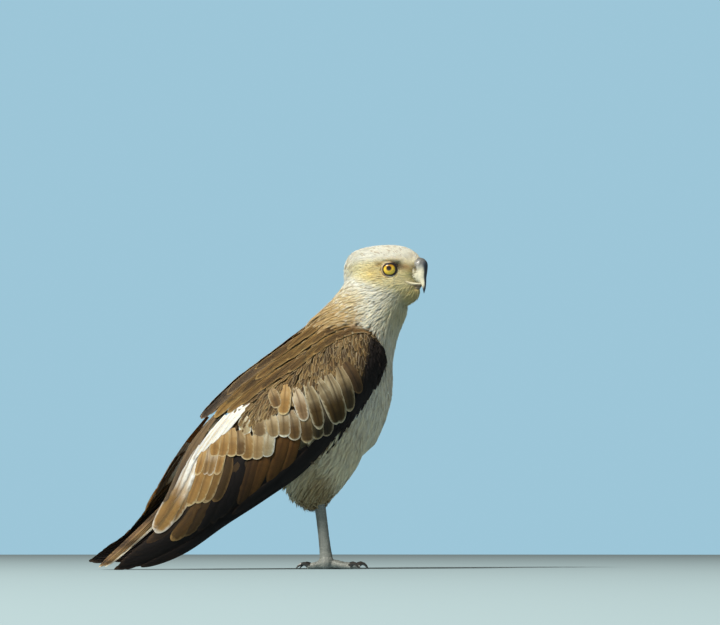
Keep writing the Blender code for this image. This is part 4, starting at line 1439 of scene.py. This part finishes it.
ROWS = {
    "primaries": Row(9,
        ((0.24, 0.99, 1.00, 0.72, 17), (0.32, 0.92, 0.95, 0.52, 20), (0.38, 0.84, 0.89, 0.36, 22),
         (0.42, 0.74, 0.82, 0.26, 24), (0.46, 0.62, 0.76, 0.20, 24)),
        (DARK_SHADED_SET, DARK_SHADED_SET, DARK_SHADED_SET, (UMBER, RUFOUS, UMBER)), (-4.0, -2.2), 0.22, 0.45, 0.5, 34, 11, 0.25,
        piece="remiges"),
    "lower_primaries": Row(3,
        ((0.20, 0.92, 0.60, 0.97, 13), (0.26, 0.93, 0.74, 1.00, 14), (0.32, 0.94, 0.86, 1.00, 14)),
        (DARK_SHADED_SET,), (-2.0, -1.0), 0.15, 0.5, 0.3, 26, 9, 0.2, piece="remiges"),
    "secondaries": Row(9,
        ((0.37, 0.55, 0.445, 0.89, 19), (0.43, 0.46, 0.520, 0.87, 22), (0.49, 0.42, 0.600, 0.90, 22),
         (0.54, 0.40, 0.670, 0.84, 22), (0.60, 0.38, 0.745, 0.66, 24)),
        # the middle secondaries are near black: painted shade where they lie in the wing's shadow
        (WARM_SET, WARM_SET, DARK_SHADED_SET, DARK_SHADED_SET, ((0.10, 0.055, 0.018), TAN, UMBER)),
        (-2.6, -1.2), 0.12, 0.40, 0.6, 28, 11, 0.15, piece="remiges"),
    "primary_coverts": Row(9,
        ((0.14, 0.80, 0.30, 0.94, 13), (0.25, 0.80, 0.44, 0.94, 14), (0.36, 0.84, 0.58, 0.96, 13)),
        (DARK_SHADED_SET,), (-1.6, -0.2), 0.05, 0.6, 0.4, 18, 9, piece="remiges"),
    "alula": Row(3,
        ((0.06, 0.66, 0.22, 0.97, 14), (0.10, 0.60, 0.27, 0.93, 15)),
        (DARK_SHADED_SET,), (-0.8, 0.5), 0.15, 0.6, 0.4, 18, 9, piece="remiges"),
    "tertials": Row(4,
        ((0.520, 0.36, 0.610, 0.66, 19), (0.550, 0.27, 0.640, 0.54, 20), (0.580, 0.20, 0.680, 0.40, 21)),
        # the first tertials are near black: painted shade of the same shadowed gap
        (((0.05, 0.03, 0.012), (0.20, 0.12, 0.05), UMBER), TAN_SET, TAN_SET), (-0.8, 0.5), 0.25, 0.75, 0.75,
        30, 13, 0.08),
    "long_tertials": Row(4,
        ((0.600, 0.19, 0.745, 0.30, 20), (0.585, 0.14, 0.785, 0.21, 26), (0.570, 0.07, 0.790, 0.11, 26),
         (0.500, 0.03, 0.755, 0.015, 16)),
        (((0.22, 0.13, 0.05), WHITE, (0.12, 0.07, 0.03)), ((0.29, 0.17, 0.055), SNOW, (0.14, 0.08, 0.03)),
         ((0.27, 0.155, 0.05), SNOW, (0.12, 0.07, 0.025)), ((0.10, 0.075, 0.05), (0.16, 0.11, 0.06), UMBER)),
        (0.2, 1.2), -0.12, 0.65, 0.45, 30, 13, 0.12, pale=0.95, tuck=(-0.060, 0.13)),
    "white_patch": Row(5,
        ((0.435, 0.170, 0.520, 0.200, 10), (0.450, 0.135, 0.555, 0.165, 10), (0.475, 0.110, 0.600, 0.135, 9),
         (0.500, 0.100, 0.635, 0.115, 8)),
        (SNOW_SET, (SNOW, CREAM, TAN), SNOW_SET), (0.2, 1.5), 0.08, 0.7, 0.4, 22, 9, 0.25, vary=0.2),
    "small_tertials": Row(4,
        ((0.530, 0.27, 0.580, 0.44, 13), (0.550, 0.20, 0.602, 0.35, 13), (0.565, 0.14, 0.620, 0.26, 12)),
        (TAN_SET, ((0.30, 0.19, 0.08), SNOW, UMBER), TAN_SET), (0.4, 1.3), 0.15, 0.8, 0.7, 20, 9, pale=0.35),
    "greater_coverts": Row(7,
        ((0.440, 0.46, 0.462, 0.63, 20), (0.462, 0.37, 0.486, 0.58, 19), (0.482, 0.28, 0.508, 0.48, 18),
         (0.500, 0.20, 0.535, 0.37, 17), (0.515, 0.13, 0.560, 0.27, 16)),
        (PALE_GREY, TAN_SET, BROWN_SET, TAN_SET, TAN_SET), (-0.2, 1.0), 0.10, 0.9, 0.8, 20, 11, pale=0.30),
    "second_coverts": Row(8,
        ((0.318, 0.60, 0.335, 0.86, 21), (0.340, 0.55, 0.357, 0.82, 21), (0.365, 0.49, 0.385, 0.74, 20),
         (0.385, 0.41, 0.405, 0.62, 20), (0.408, 0.35, 0.425, 0.56, 19), (0.430, 0.28, 0.452, 0.48, 20),
         (0.455, 0.20, 0.475, 0.36, 17)),
        (((0.045, 0.032, 0.016), (0.42, 0.34, 0.22), BLACK), ((0.060, 0.045, 0.020), PALE_EDGE, BLACK),
         BROWN_SET, (BROWN, CREAM, UMBER), ((0.34, 0.25, 0.13), WHITE, UMBER), BROWN_SET, PALE_GREY),
        (-0.6, 1.2), -0.10, 0.9, 0.85, 20, 11, pale=0.35),
    "median_coverts": Row(8,
        ((0.385, 0.20, 0.402, 0.36, 15), (0.362, 0.26, 0.384, 0.43, 18), (0.345, 0.33, 0.364, 0.60, 17),
         (0.318, 0.36, 0.338, 0.76, 18), (0.298, 0.40, 0.315, 0.85, 19), (0.275, 0.44, 0.297, 0.88, 21),
         (0.252, 0.46, 0.268, 0.87, 20), (0.225, 0.48, 0.232, 0.82, 17)),
        (BROWN_SET, TAN_SET, ((0.30, 0.20, 0.11), WHITE, UMBER), WHITE_EDGED, WHITE_EDGED,
         WHITE_EDGED, ((0.085, 0.058, 0.024), PALE_EDGE, BLACK), (UMBER, (0.16, 0.10, 0.045), BLACK)),
        (0.0, 1.8), 0.12, 0.9, 0.75, 22, 11, pale=0.40),
    "lower_scapulars": Row(11,
        ((0.050, 0.27, 0.150, 0.290, 10), (0.150, 0.22, 0.250, 0.235, 12), (0.250, 0.18, 0.355, 0.185, 13),
         (0.370, 0.12, 0.480, 0.105, 14)),
        (BROWN_SET, MANTLE_SET, OCHRE_SET, MANTLE_SET, OCHRE_SET), (0.4, 2.0), -0.05, 0.5, 0.7, 22, 9, 0.2,
        piece="scapulars", vary=0.3),
    "middle_scapulars": Row(11,
        ((0.060, 0.17, 0.160, 0.180, 11), (0.160, 0.13, 0.265, 0.135, 13), (0.270, 0.10, 0.385, 0.095, 15),
         (0.380, 0.06, 0.500, 0.035, 17)),
        (OCHRE_SET, MANTLE_SET, OCHRE_SET, OCHRE_SET, MANTLE_SET, OCHRE_SET), (0.6, 2.3), -0.05, 0.5, 0.7,
        22, 9, 0.2, piece="scapulars", vary=0.3),
    "upper_scapulars": Row(10,
        ((0.080, 0.07, 0.185, 0.075, 12), (0.190, 0.04, 0.300, 0.045, 14), (0.300, 0.03, 0.425, 0.020, 16),
         (0.405, 0.01, 0.530, -0.045, 18)),
        (MANTLE_SET, OCHRE_SET, MANTLE_SET, ((0.10, 0.075, 0.05), TAN, UMBER),
         ((0.070, 0.052, 0.036), (0.20, 0.14, 0.09), BLACK)),
        (0.6, 2.4), -0.05, 0.5, 0.6, 22, 9, 0.2, piece="scapulars", vary=0.3),
}


def covert_roots(surface, rng, spacing=0.0043, tries=9000):
    """Shares of the wing's length and width at places strewn over its fore part, apart by the spacing."""
    length = rng.uniform(-0.01, 0.46, tries)
    width = rng.uniform(0.05, 0.98, tries)
    places = surface.place(length, width)
    chosen = []
    cells = {}
    steps = list(itertools.product((-1, 0, 1), repeat=3))
    for k, place in enumerate(places):
        x, y, z = (place // spacing).astype(int)
        near = [other for dx, dy, dz in steps for other in cells.get((x + dx, y + dy, z + dz), ())]
        if all(np.linalg.norm(place - places[other]) > spacing for other in near):
            cells.setdefault((x, y, z), []).append(k)
            chosen.append(k)
    length, width = length[chosen], width[chosen]
    line_of_medians = 0.50 - 1.1 * np.clip(length - 0.26, 0, 1)
    small = (width < line_of_medians) | (length < 0.21) | ((width > 0.86) & (length < 0.30))
    small &= width > 0.14
    return length[small], width[small]


def small_coverts(coat, surface, rng):
    """Short coverts over the fore part of the wing, streaky brown with pale rims, turning blackish towards
    the leading and lower edge, partly with painted shade.
    """
    length, width = covert_roots(surface, rng)
    stations, columns = 8, 5
    count = len(length)
    heading = wing_heading(length, width) + rng.normal(0, 0.10, count)
    along, down = surface.slopes(length, width)
    edge = dark_shaded_edge(length, width)
    size = (17 - 5 * edge + rng.normal(0, 1.2, count)) * MM
    way = unit(along) * np.cos(heading)[:, None] + unit(down) * np.sin(heading)[:, None]
    share = 1 - (1 - np.linspace(0, 1, stations)) ** 1.4
    offset = way[:, None] * (size[:, None] * share)[..., None]
    path_l, path_w = surface.shift(length[:, None], width[:, None], offset)
    middle = surface.place(path_l, path_w)
    forward = unit(np.gradient(middle, axis=1))
    ups = surface.normal(path_l, path_w)
    sides = unit(np.cross(ups, forward))
    across, face = vane_ring(columns)
    wide = (2.7 + rng.normal(0, 0.25, count)) * MM
    blunt = np.full(count, 0.45)
    half = wide[:, None] * vane_outline(share, blunt, 0.6, rng, 0.1)
    rise = (-1.2 + 2.4 * share[None]) * MM + rng.uniform(-0.3, 0.3, (count, 1)) * MM
    height = rise[..., None] + 0.16 * half[..., None] * (1 - across**2) + 0.0001 * face
    roll = rng.normal(0, 0.12, (count, 1, 1)) * half[..., None] * across
    places = (
        middle[:, :, None]
        + sides[:, :, None] * (half[..., None] * across)[..., None]
        + ups[:, :, None] * (height + roll)[..., None]
    )
    chance = rng.random((count, 1))
    base = mix(BROWN, (0.26, 0.17, 0.07), rng.random(count))
    fore = smooth(width + 1.2 * (0.30 - length), 0.35, 0.60)
    base = mix(base, UMBER, 0.9 * (rng.random(count) < 0.30 + 0.35 * fore))
    rim = mix(PALE_EDGE, TAN, rng.random(count))
    shaft = np.broadcast_to((0.026, 0.016, 0.009), (count, 3))
    colours = np.hstack([base, rim, shaft])
    # towards the leading and lower edge the coverts turn blackish and lose their rims: partly their own dark
    # colour, partly painted shade
    dark = np.hstack([np.broadcast_to(c, (count, 3)) for c in DARK_SHADED_SET])
    colours = mix(colours, dark, edge)
    share3, across3 = over_vanes(share, across, places.shape[:3])
    strength = 0.75 * (1 - 0.8 * edge[:, None, None]) * (0.5 + 0.5 * chance[..., None])
    shade = vane_shade(colours, strength, share3, across3, rng)
    patch = patch_map(np.column_stack([length, width]), share3, across3, 0.0014, 0.0028)
    tilt = rng.normal(0, 0.12, (count, 1, 1, 1)) * sides[:, :, None]
    shine = ups[:, :, None] + sides[:, :, None] * (0.35 * across)[:, None] + tilt
    shine = shine * np.where(face < 0, -1, 1)[:, None]
    coat.add(places, shine, shade, size[:, None, None] * share3, half[..., None] * across, patch, rng)


def dress_wings(rng):
    for word, surface in WINGS.items():
        coats = {
            "remiges": Coat(f"wing_{word}_remiges", "dark_feathers"),
            "coverts": Coat(f"wing_{word}_coverts", "brown_feathers"),
            "scapulars": Coat(f"wing_{word}_scapulars", "brown_feathers"),
            "small": Coat(f"wing_{word}_small_coverts", "brown_feathers"),
        }
        for row in ROWS.values():
            lay_row(coats[row.piece], surface, row, rng)
        small_coverts(coats["small"], surface, rng)
        for part, coat in coats.items():
            obj = coat.build(FEATHER)
            if part == "remiges":
                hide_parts(f"wing_{word}_primaries", f"wing_{word}_secondaries")


# The length of the tail's feathers, for the grain of their barbs
TAIL_LENGTH = 0.23


def dress_tail(rng):
    """Twelve tail feathers folded in a stack, the middle pair on top and the outer pair lowest."""
    stations, columns, pairs = 34, 11, 6
    rows = padded_rows(TAIL)
    share = 1 - (1 - np.linspace(0, 1, stations)) ** 1.3
    across, face = vane_ring(columns)
    coat = Coat("tail_feathers", "brown_feathers")
    for pair in range(pairs):
        for side in SIDES.values():
            reach = 1.0 - 0.012 * pair + 0.006 * rng.normal()
            row = spline_at(rows, share * reach)
            upper, lower = spine_edges(row)
            rise = unit(upper - lower)
            depth = np.linalg.norm(upper - lower, axis=1) / 2
            # how high in the folded stack, from 1 at the top to -1 at the bottom
            level = 0.92 - 1.75 * (pair + (0.35 if side > 0 else 0.0)) / pairs
            centre = (upper + lower) / 2
            aside = side * (1.0 + 3.1 * pair * (0.35 + 0.65 * share)) * MM
            half = (11.0 + 7.5 * share) * MM
            half = half * vane_outline(share, np.array([0.75]), 0.7, rng, 0.30)[0]
            y = aside[:, None] + half[:, None] * across
            bow = np.sqrt(np.clip(1 - (y / row[:, 4:5]) ** 2, 0.04, 1))
            height = level * depth[:, None] * bow + VANE_THICK * face
            places = centre[:, None] + rise[:, None] * height[..., None]
            places = places + y[..., None] * np.array((0.0, 1.0, 0.0))
            share3, across3 = over_vanes(share, across, (1, stations, len(across)))
            below = pair >= 4
            base = np.array([GREY_BUFF if below else (0.15, 0.095, 0.05)])
            rim = np.array([CREAM if below else TAN])
            shaft = np.array([CREAM if below else UMBER])
            shade = vane_shade(np.hstack([base, rim, shaft]), 0.5, share3, across3, rng)
            bars = sum(np.exp(-(((share3 - at) / 0.045) ** 2)) for at in (0.52, 0.72, 0.93))
            shade = mix(shade, BLACK, 0.75 * np.clip(bars, 0, 1))
            shade = mix(shade, CREAM, 0.5 * smooth(share3, 0.975, 1.0))
            column = 0.08 + 0.07 * (pair * 2 + (side > 0))
            patch = np.stack([column + across3 * 0.03, 0.1 + 0.8 * share3], -1)
            curve = (y / row[:, 4:5])[..., None] * np.array((0.0, 0.8, 0.0))
            shine = (rise[:, None] + curve) * np.where(face < 0, -1, 1)[:, None]
            off_shaft = (half[:, None] * across)[None]
            coat.add(places[None], shine[None], shade, TAIL_LENGTH * share3, off_shaft, patch, rng)
    obj = coat.build(FEATHER)
    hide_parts("tail")


# ---------------------------------------------------------------- head: eyes, lids, bill


def grid_triangles(rows, columns, closed):
    made = []
    for i in range(rows - 1):
        for j in range(columns if closed else columns - 1):
            a, b = i * columns + j, i * columns + (j + 1) % columns
            made += [(a, b, b + columns), (a, b + columns, a + columns)]
    return np.array(made)


def make_eye(word, side):
    """A slightly domed eyeball, coloured with a golden iris and a dark pupil; the iris's upper part is darker
    with painted shade of the brow and lid.
    """
    rings, around = 40, 64
    iris, pupil = math.radians(52), 0.295
    polar = np.linspace(0.012, math.radians(120), rings)
    turn = np.linspace(0, 2 * math.pi, around, endpoint=False)
    sight, _, _ = eye_frame(side)
    p, t = np.meshgrid(polar, turn, indexing="ij")
    dome = 0.0008 * (1 - smooth(np.degrees(p), 24, 50))
    radius = EYE_RADIUS - 0.0001 + dome
    places = eye_centre(side) + eye_rays(side, p, t) * radius[..., None]
    places = from_head(places.reshape(-1, 3))
    out = (np.sin(p) / math.sin(iris)).ravel()
    out = np.where(p.ravel() > math.pi / 2, 2.0, out)
    high = (np.sin(p) * np.sin(t) / math.sin(iris)).ravel()
    # the upper part of the iris is darker orange-brown: painted shade of the brow and upper lid
    colour = mix((0.92, 0.64, 0.045), (0.42, 0.20, 0.012), smooth(high, -0.10, 0.45))
    colour = mix(colour, (0.45, 0.22, 0.02), smooth(out, 0.50, 0.32))
    colour = mix(colour, PUPIL, smooth(out, pupil + 0.04, pupil - 0.01))
    colour = mix(colour, EYE_RIM, smooth(out, 0.93, 1.02))
    first, last = len(places), len(places) + 1
    tip = from_head((eye_centre(side) + sight * radius[0, 0])[None])
    back = from_head((eye_centre(side) - sight * 0.004)[None])
    places = np.vstack([places, tip, back])
    colour = np.vstack([colour, [PUPIL, EYE_RIM]])
    triangles = grid_triangles(rings, around, True).tolist()
    for j in range(around):
        k = (j + 1) % around
        triangles.append((first, k, j))
        triangles.append((last, (rings - 1) * around + j, (rings - 1) * around + k))
    triangles = facing_out(places, np.array(triangles))
    obj = mesh_object(f"eyeball_{word}", places, triangles, EYE)
    set_colours(obj, colour)
    spokes = np.stack([np.cos(t) * 7, np.sin(t) * 7, np.sin(p) * 2.2], -1).reshape(-1, 3)
    set_vectors(obj, "grain", np.vstack([spokes, spokes[:1], spokes[:1]]))
    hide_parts(f"eye_{word}")


def lid_ring(side, outer):
    """One closed ring of the lids: the dark wet rim round the eye, or the pale skin fold outside it, darkened
    at its top front with painted shade under the brow.
    """
    around, cross = 84, 14
    turn = np.linspace(0, 2 * math.pi, around, endpoint=False)
    loop = np.linspace(0, 2 * math.pi, cross, endpoint=False)
    t, q = np.meshgrid(turn, loop, indexing="ij")
    above, ahead = np.sin(t), np.cos(t)
    inner, dark = lid_angles(t)
    first, last = (dark - 3, np.maximum(dark + 11, 68)) if outer else (inner, dark)
    middle, reach = np.radians((first + last) / 2), np.radians((last - first) / 2)
    polar = middle + reach * np.cos(q)
    fold = 0.0007 + 0.0004 * np.clip(-above, -1, 1) if outer else 0.0011 + 0.0007 * np.clip(above, 0, 1)
    radius = EYE_RADIUS + 0.0002 + fold * np.sin(q)
    places = eye_centre(side) + eye_rays(side, polar, t) * radius[..., None]
    places = from_head(places.reshape(-1, 3))
    core = eye_centre(side) + eye_rays(side, middle, t) * (EYE_RADIUS + 0.0002)
    core = from_head(core.reshape(-1, 3))
    if outer:
        # the top front of the fold is dark brown: painted shade under the brow
        shaded_front = smooth(ahead, 0.3, 0.8) * smooth(above, 0.0, 0.4)
        colour = mix((0.62, 0.48, 0.27), (0.10, 0.058, 0.034), shaded_front)
        colour = mix(colour, (0.36, 0.28, 0.27), smooth(-above, 0.5, 0.9) * smooth(-ahead, -0.3, 0.5))
        crescent = smooth(-above + 0.5 * ahead, 0.35, 0.85) * smooth(ahead, -0.35, 0.0)
        colour = mix(colour, (0.86, 0.83, 0.74), crescent)
    else:
        wet = smooth(np.cos(q), 0.1, 0.9)
        colour = mix((0.016, 0.009, 0.011), (0.050, 0.028, 0.030), wet)
    triangles = []
    for i in range(around):
        for j in range(cross):
            a, b = i * cross + j, i * cross + (j + 1) % cross
            c, d = ((i + 1) % around) * cross + (j + 1) % cross, ((i + 1) % around) * cross + j
            triangles += [(a, b, c), (a, c, d)]
    return places, facing_out(places, np.array(triangles), core), colour.reshape(-1, 3)


# The fleshy ridge from the corner of the bill back along the cheek, with its half thickness
GAPE = (
    (0.0600, 0.0080, -0.0162, 0.0006),
    (0.0565, 0.0105, -0.0156, 0.0012),
    (0.0530, 0.0125, -0.0147, 0.0015),
    (0.0490, 0.0155, -0.0135, 0.0014),
    (0.0455, 0.0175, -0.0121, 0.0010),
    (0.0425, 0.0190, -0.0108, 0.0003),
)


def gape_ridge(side, tree, drop, tint, slim):
    """A ridge laid along the corner of the bill: the pale flange, or the dark line of the mouth under it."""
    stations, cross = 30, 10
    rows = through(GAPE, stations) * (1, side, 1, 1)
    path = from_head(rows[:, :3] - (0, 0, drop))
    centre, up = nearest(tree, path)
    up = unit(up)
    size = rows[:, 3] * slim
    centre = centre + up * (size * 0.25 + 0.0004)[:, None]
    for _ in range(30):
        centre[1:-1] = (centre[:-2] + 2 * centre[1:-1] + centre[2:]) / 4
    along = unit(np.gradient(centre, axis=0))
    aside = unit(np.cross(up, along))
    lift = np.cross(along, aside)
    loop = np.linspace(0, 2 * math.pi, cross, endpoint=False)
    places = (
        centre[:, None]
        + aside[:, None] * (size[:, None] * np.cos(loop) * 1.2)[..., None]
        + lift[:, None] * (size[:, None] * np.sin(loop) * 0.7)[..., None]
    ).reshape(-1, 3)
    triangles = facing_out(places, ring_triangles(stations, cross), np.repeat(centre, cross, 0))
    share = np.repeat(np.linspace(0, 1, stations), cross)
    colour = mix(tint, (0.62, 0.50, 0.28), 0.8 * share)
    return places, triangles, colour


def bill_surface(rows, count, around):
    """Rings of a bill part between its upper and lower outlines, in the head's frame."""
    rows = through(rows, count)
    turn = np.linspace(0, 2 * math.pi, around, endpoint=False)
    rings = []
    for upper_x, upper_z, lower_x, lower_z, width in rows:
        centre = np.array(((upper_x + lower_x) / 2, 0.0, (upper_z + lower_z) / 2))
        rise = np.array(((upper_x - lower_x) / 2, 0.0, (upper_z - lower_z) / 2))
        rings.append(
            centre + np.outer(np.cos(turn), rise) + np.outer(np.sin(turn) * width, (0.0, 1.0, 0.0))
        )
    return np.array(rings), turn


def horn_colours(places, high, share):
    """Grey-brown swollen cere, pale grey-white sides, blue-black ridge and hook; the pale sides are partly a
    painted highlight, and the cere's dark top and the ridge are partly painted shade.
    """
    x, _, z = places.T
    # the lower sides are pale grey-white: partly a painted highlight on the lit side of the bill
    colour = mix((0.88, 0.82, 0.62), (0.34, 0.35, 0.32), smooth(z, 0.000, 0.009))
    # the top of the cere is darker: partly painted shade at its front
    colour = mix(colour, (0.15, 0.15, 0.145), smooth(z, 0.0060, 0.0140) * smooth(x, 0.044, 0.056))
    # the ridge is blue-black: partly its own colour, partly painted shade on the far side of the culmen
    dark_shaded_ridge = smooth(high, 0.42, 0.78) * smooth(share, 0.24, 0.40)
    hook = smooth(share, 0.70, 0.86)
    return mix(colour, (0.030, 0.042, 0.060), np.maximum(dark_shaded_ridge, hook))


def bill_part(name, rings, places, colour):
    triangles = facing_out(places, ring_triangles(*rings.shape[:2]))
    obj = mesh_object(name, from_head(places), triangles, BILL)
    set_colours(obj, colour)
    return obj


def make_bill():
    """Upper bill with cere, nostrils and hook; lower bill; both coloured by place."""
    rings, turn = bill_surface(BILL_UPPER, 72, 64)
    share = np.repeat(np.linspace(0, 1, len(rings)), len(turn))
    high = np.tile(np.cos(turn), len(rings))
    places = rings.reshape(-1, 3)
    x, y, z = places.T
    # the cere stands a little proud of the horn, with an uneven front edge
    line = x - 0.22 * z + 0.0006 * np.sin(z * 900)
    cere = smooth(line, 0.0588, 0.0578)
    outwards = np.sign(y) * smooth(np.abs(y), 0, 0.004)
    places = places + np.column_stack([0 * x, outwards * 0.0005 * cere, 0.0002 * cere * (high > 0)])
    # nostrils: slanting slots through the cere
    slot = ((x - 0.0545 + 0.35 * (z - 0.006)) / 0.0013) ** 2 + ((z - 0.0060) / 0.0030) ** 2
    hole = np.exp(-slot) * smooth(np.abs(y), 0.003, 0.006)
    places[:, 1] -= np.sign(y) * 0.0022 * hole
    # the cutting edge is drawn in to a blade
    places[:, 1] *= 1 - 0.25 * np.exp(-(((high + 1) / 0.25) ** 2))
    colour = mix(horn_colours(places, high, share), (0.02, 0.016, 0.016), np.clip(hole * 1.5, 0, 1))
    obj = bill_part("bill_upper_horn", rings, places, colour)
    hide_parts("bill_upper")
    rings, _ = bill_surface(BILL_LOWER, 30, 40)
    places = rings.reshape(-1, 3)
    dark = smooth(places[:, 0], 0.050, 0.0565)
    colour = mix((0.46, 0.33, 0.18), (0.20, 0.15, 0.10), dark)
    obj = bill_part("bill_lower_horn", rings, places, colour)
    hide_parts("bill_lower")


# ---------------------------------------------------------------- legs


# Spacing of the scales on the legs and along the tops of the toes
SCALE_SPACING = 0.0019
TOE_SPACING = 0.0025


def leg_scales(skin, corners, rng):
    """Small domed plates over the bare legs and toes, larger along the top of each toe."""
    points, index, normals = strewn(*skin, SCALE_SPACING, 9, rng)
    keep = (points[:, 2] > 0.0016) & (points[:, 2] < 0.094)
    points, index = points[keep], index[keep]
    on_toe = (points[:, 2] < 0.022) & (normals[index][:, 2] > 0.35)
    reach = np.where(on_toe, TOE_SPACING, SCALE_SPACING)
    chosen = thinned(points, reach)
    points, up, size = points[chosen], normals[index[chosen]], reach[chosen]
    middle = corners[index[chosen]].mean(1)
    sides = 7
    turn = np.linspace(0, 2 * math.pi, sides, endpoint=False)
    one = unit(np.cross(up, (0.31, 0.95, 0.12)))
    two = np.cross(up, one)
    count = len(points)
    stretch = rng.uniform(0.95, 1.10, (count, 1))

    def ring(share, height):
        radius = (size[:, None] * share * stretch)[..., None]
        around = one[:, None] * np.cos(turn)[None, :, None] + two[:, None] * np.sin(turn)[None, :, None]
        return points[:, None] + around * radius + up[:, None] * height

    rings = np.stack([ring(0.55, -0.0003), ring(0.58, 0.00012), ring(0.30, 0.00042)], 1)
    colour = mix(LEG_GREY, (0.22, 0.24, 0.23), rng.random(count))
    shade = colour[:, None, None] * np.ones(rings.shape)
    shade[:, 0:2] *= 0.55
    coat = Coat("leg_scales", "leg_scales")
    along = np.broadcast_to(size[:, None, None] * np.array((0, 0.5, 1.0))[None, :, None], rings.shape[:3])
    across = np.broadcast_to(0.001 * np.cos(turn), rings.shape[:3])
    radii = np.array((1.0, 0.8, 0.4))[None, :, None]
    patch = np.stack([np.cos(turn) * radii * 0.0014, np.sin(turn) * radii * 0.0014], -1)
    patch = middle[:, None, None] + np.broadcast_to(patch, (count, 3, sides, 2))
    middle_of = rings.mean((1, 2), keepdims=True)
    shine = unit(rings - middle_of) * 0.5 + up[:, None, None]
    coat.add(rings, shine, shade, along, across, patch, rng)
    coat.build(SCALE, above=0.0)


def finish_claws():
    for name, obj in frame["nodes"].items():
        if name.startswith("claw_"):
            obj.data.materials.clear()
            obj.data.materials.append(CLAW)


# ---------------------------------------------------------------- putting it together


def build_skin(body, legs):
    """Joins body, legs, lids and gape ridges into the one skin, and gives it its markings with their painted
    shade, and its map.
    """
    places, triangles = body
    leg_places, leg_triangles = legs
    tree = search_tree([body, mesh_arrays(joined_nodes(["bill_upper"]))])
    head = to_head(places)
    bare = smooth(head[:, 0] - 0.15 * head[:, 2], 0.0555, 0.0580) * smooth(head[:, 2], -0.020, -0.014)
    parts = [
        (places, triangles, mix(markings_and_shade(places), CERE_BLUE, bare)),
        (leg_places, leg_triangles, np.broadcast_to(LEG_GREY, leg_places.shape) * 0.6),
    ]
    for side in SIDES.values():
        parts.append(lid_ring(side, outer=False))
        parts.append(lid_ring(side, outer=True))
        parts.append(gape_ridge(side, tree, 0.0, (0.86, 0.80, 0.60), 0.85))
        parts.append(gape_ridge(side, tree, 0.0022, (0.10, 0.07, 0.04), 0.50))
    all_places, all_triangles = joined(parts)
    corners = skin_map(all_places, all_triangles)
    obj = mesh_object("skin", all_places, all_triangles, SKIN)
    set_colours(obj, np.vstack([part[2] for part in parts]))
    set_bake_map(obj, corners.reshape(-1, 2))
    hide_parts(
        "head", "neck", "trunk", "thigh_left", "thigh_right", "wing_left_arm", "wing_right_arm",
        "tarsus_left", "tarsus_right", "foot_left", "foot_right",
    )
    return corners[: len(triangles)], corners[len(triangles) : len(triangles) + len(leg_triangles)]


def make_bird():
    rng = np.random.default_rng(SEED)
    body, legs = make_skin()
    body_map, leg_map = build_skin(body, legs)
    dress_body(body, body_map, rng)
    dress_wings(rng)
    dress_tail(rng)
    for word, side in SIDES.items():
        make_eye(word, side)
    make_bill()
    leg_scales(legs, leg_map, rng)
    finish_claws()


# ---------------------------------------------------------------- floor, light and camera


def make_floor():
    bm = bmesh.new()
    bmesh.ops.create_circle(bm, cap_ends=True, segments=96, radius=5)
    mesh = bpy.data.meshes.new("floor")
    bm.to_mesh(mesh)
    bm.free()
    made, tree, shader = new_material("floor")
    grain = node(tree, "ShaderNodeTexNoise", in_Scale=6.0, in_Detail=3.0)
    ramp_base(tree, shader, grain, (0.31, 0.42, 0.47), (0.33, 0.44, 0.49))
    set_sockets(shader, {"Roughness": 0.95, "Specular IOR Level": 0.1})
    mesh.materials.append(made)
    obj = bpy.data.objects.new("floor", mesh)
    bpy.context.scene.collection.objects.link(obj)


SKY = (0.335, 0.565, 0.690, 1)
FILL = (0.18, 0.17, 0.15, 1)
KEY_FROM = (-0.58, -0.35, 0.735)
KEY_DISTANCE = 8.0
KEY_SIZE = 1.5
KEY_POWER = 960
KEY_COLOUR = (1.0, 0.96, 0.87)


def make_lights():
    """A soft warm key from high behind the bird's right side, and an even dim fill all round.

    The camera sees the blue of the sky where there is no floor, and it lights nothing.
    """
    world = bpy.data.worlds.new("world")
    world.use_nodes = True
    tree = world.node_tree
    background = tree.nodes["Background"]
    path = node(tree, "ShaderNodeLightPath")
    pick = node(tree, "ShaderNodeMix", data_type="RGBA")
    # the mixing node's colours are its sockets 6 and 7, and its colour output is socket 2
    pick.inputs[6].default_value = FILL
    pick.inputs[7].default_value = SKY
    tree.links.new(path.outputs["Is Camera Ray"], pick.inputs[0])
    tree.links.new(pick.outputs[2], background.inputs["Color"])
    bpy.context.scene.world = world
    aim = ROOT + (-0.05, 0, 0.20)
    place = aim + np.array(KEY_FROM) * KEY_DISTANCE
    data = bpy.data.lights.new("key", "AREA")
    data.shape = "DISK"
    data.size = KEY_SIZE
    data.energy = KEY_POWER
    data.color = KEY_COLOUR
    obj = bpy.data.objects.new("key", data)
    obj.location = place
    obj.rotation_mode = "QUATERNION"
    obj.rotation_quaternion = Vector(aim - place).to_track_quat("-Z", "Y")
    bpy.context.scene.collection.objects.link(obj)


def make_camera():
    """Low and level with the perch, on the bird's right, as far off as a long lens stands."""
    azimuth, distance, height = math.radians(-20), 4.0, 0.035
    aside, level, view_width = 0.0452, 0.345, 0.972
    across = np.array((math.cos(azimuth), math.sin(azimuth), 0))
    back = np.array((math.sin(azimuth), -math.cos(azimuth), 0))
    target = ROOT + across * aside + (0, 0, level)
    place = ROOT + across * aside + back * distance + (0, 0, height)
    data = bpy.data.cameras.new("camera")
    data.sensor_width = 36
    data.lens = data.sensor_width * float(np.linalg.norm(target - place)) / view_width
    obj = bpy.data.objects.new("camera", data)
    obj.location = place
    obj.rotation_mode = "QUATERNION"
    obj.rotation_quaternion = Vector(target - place).to_track_quat("-Z", "Y")
    bpy.context.scene.collection.objects.link(obj)
    bpy.context.scene.camera = obj


make_camera()
make_lights()
make_floor()
make_bird()
bpy.context.scene.view_settings.view_transform = "Standard"
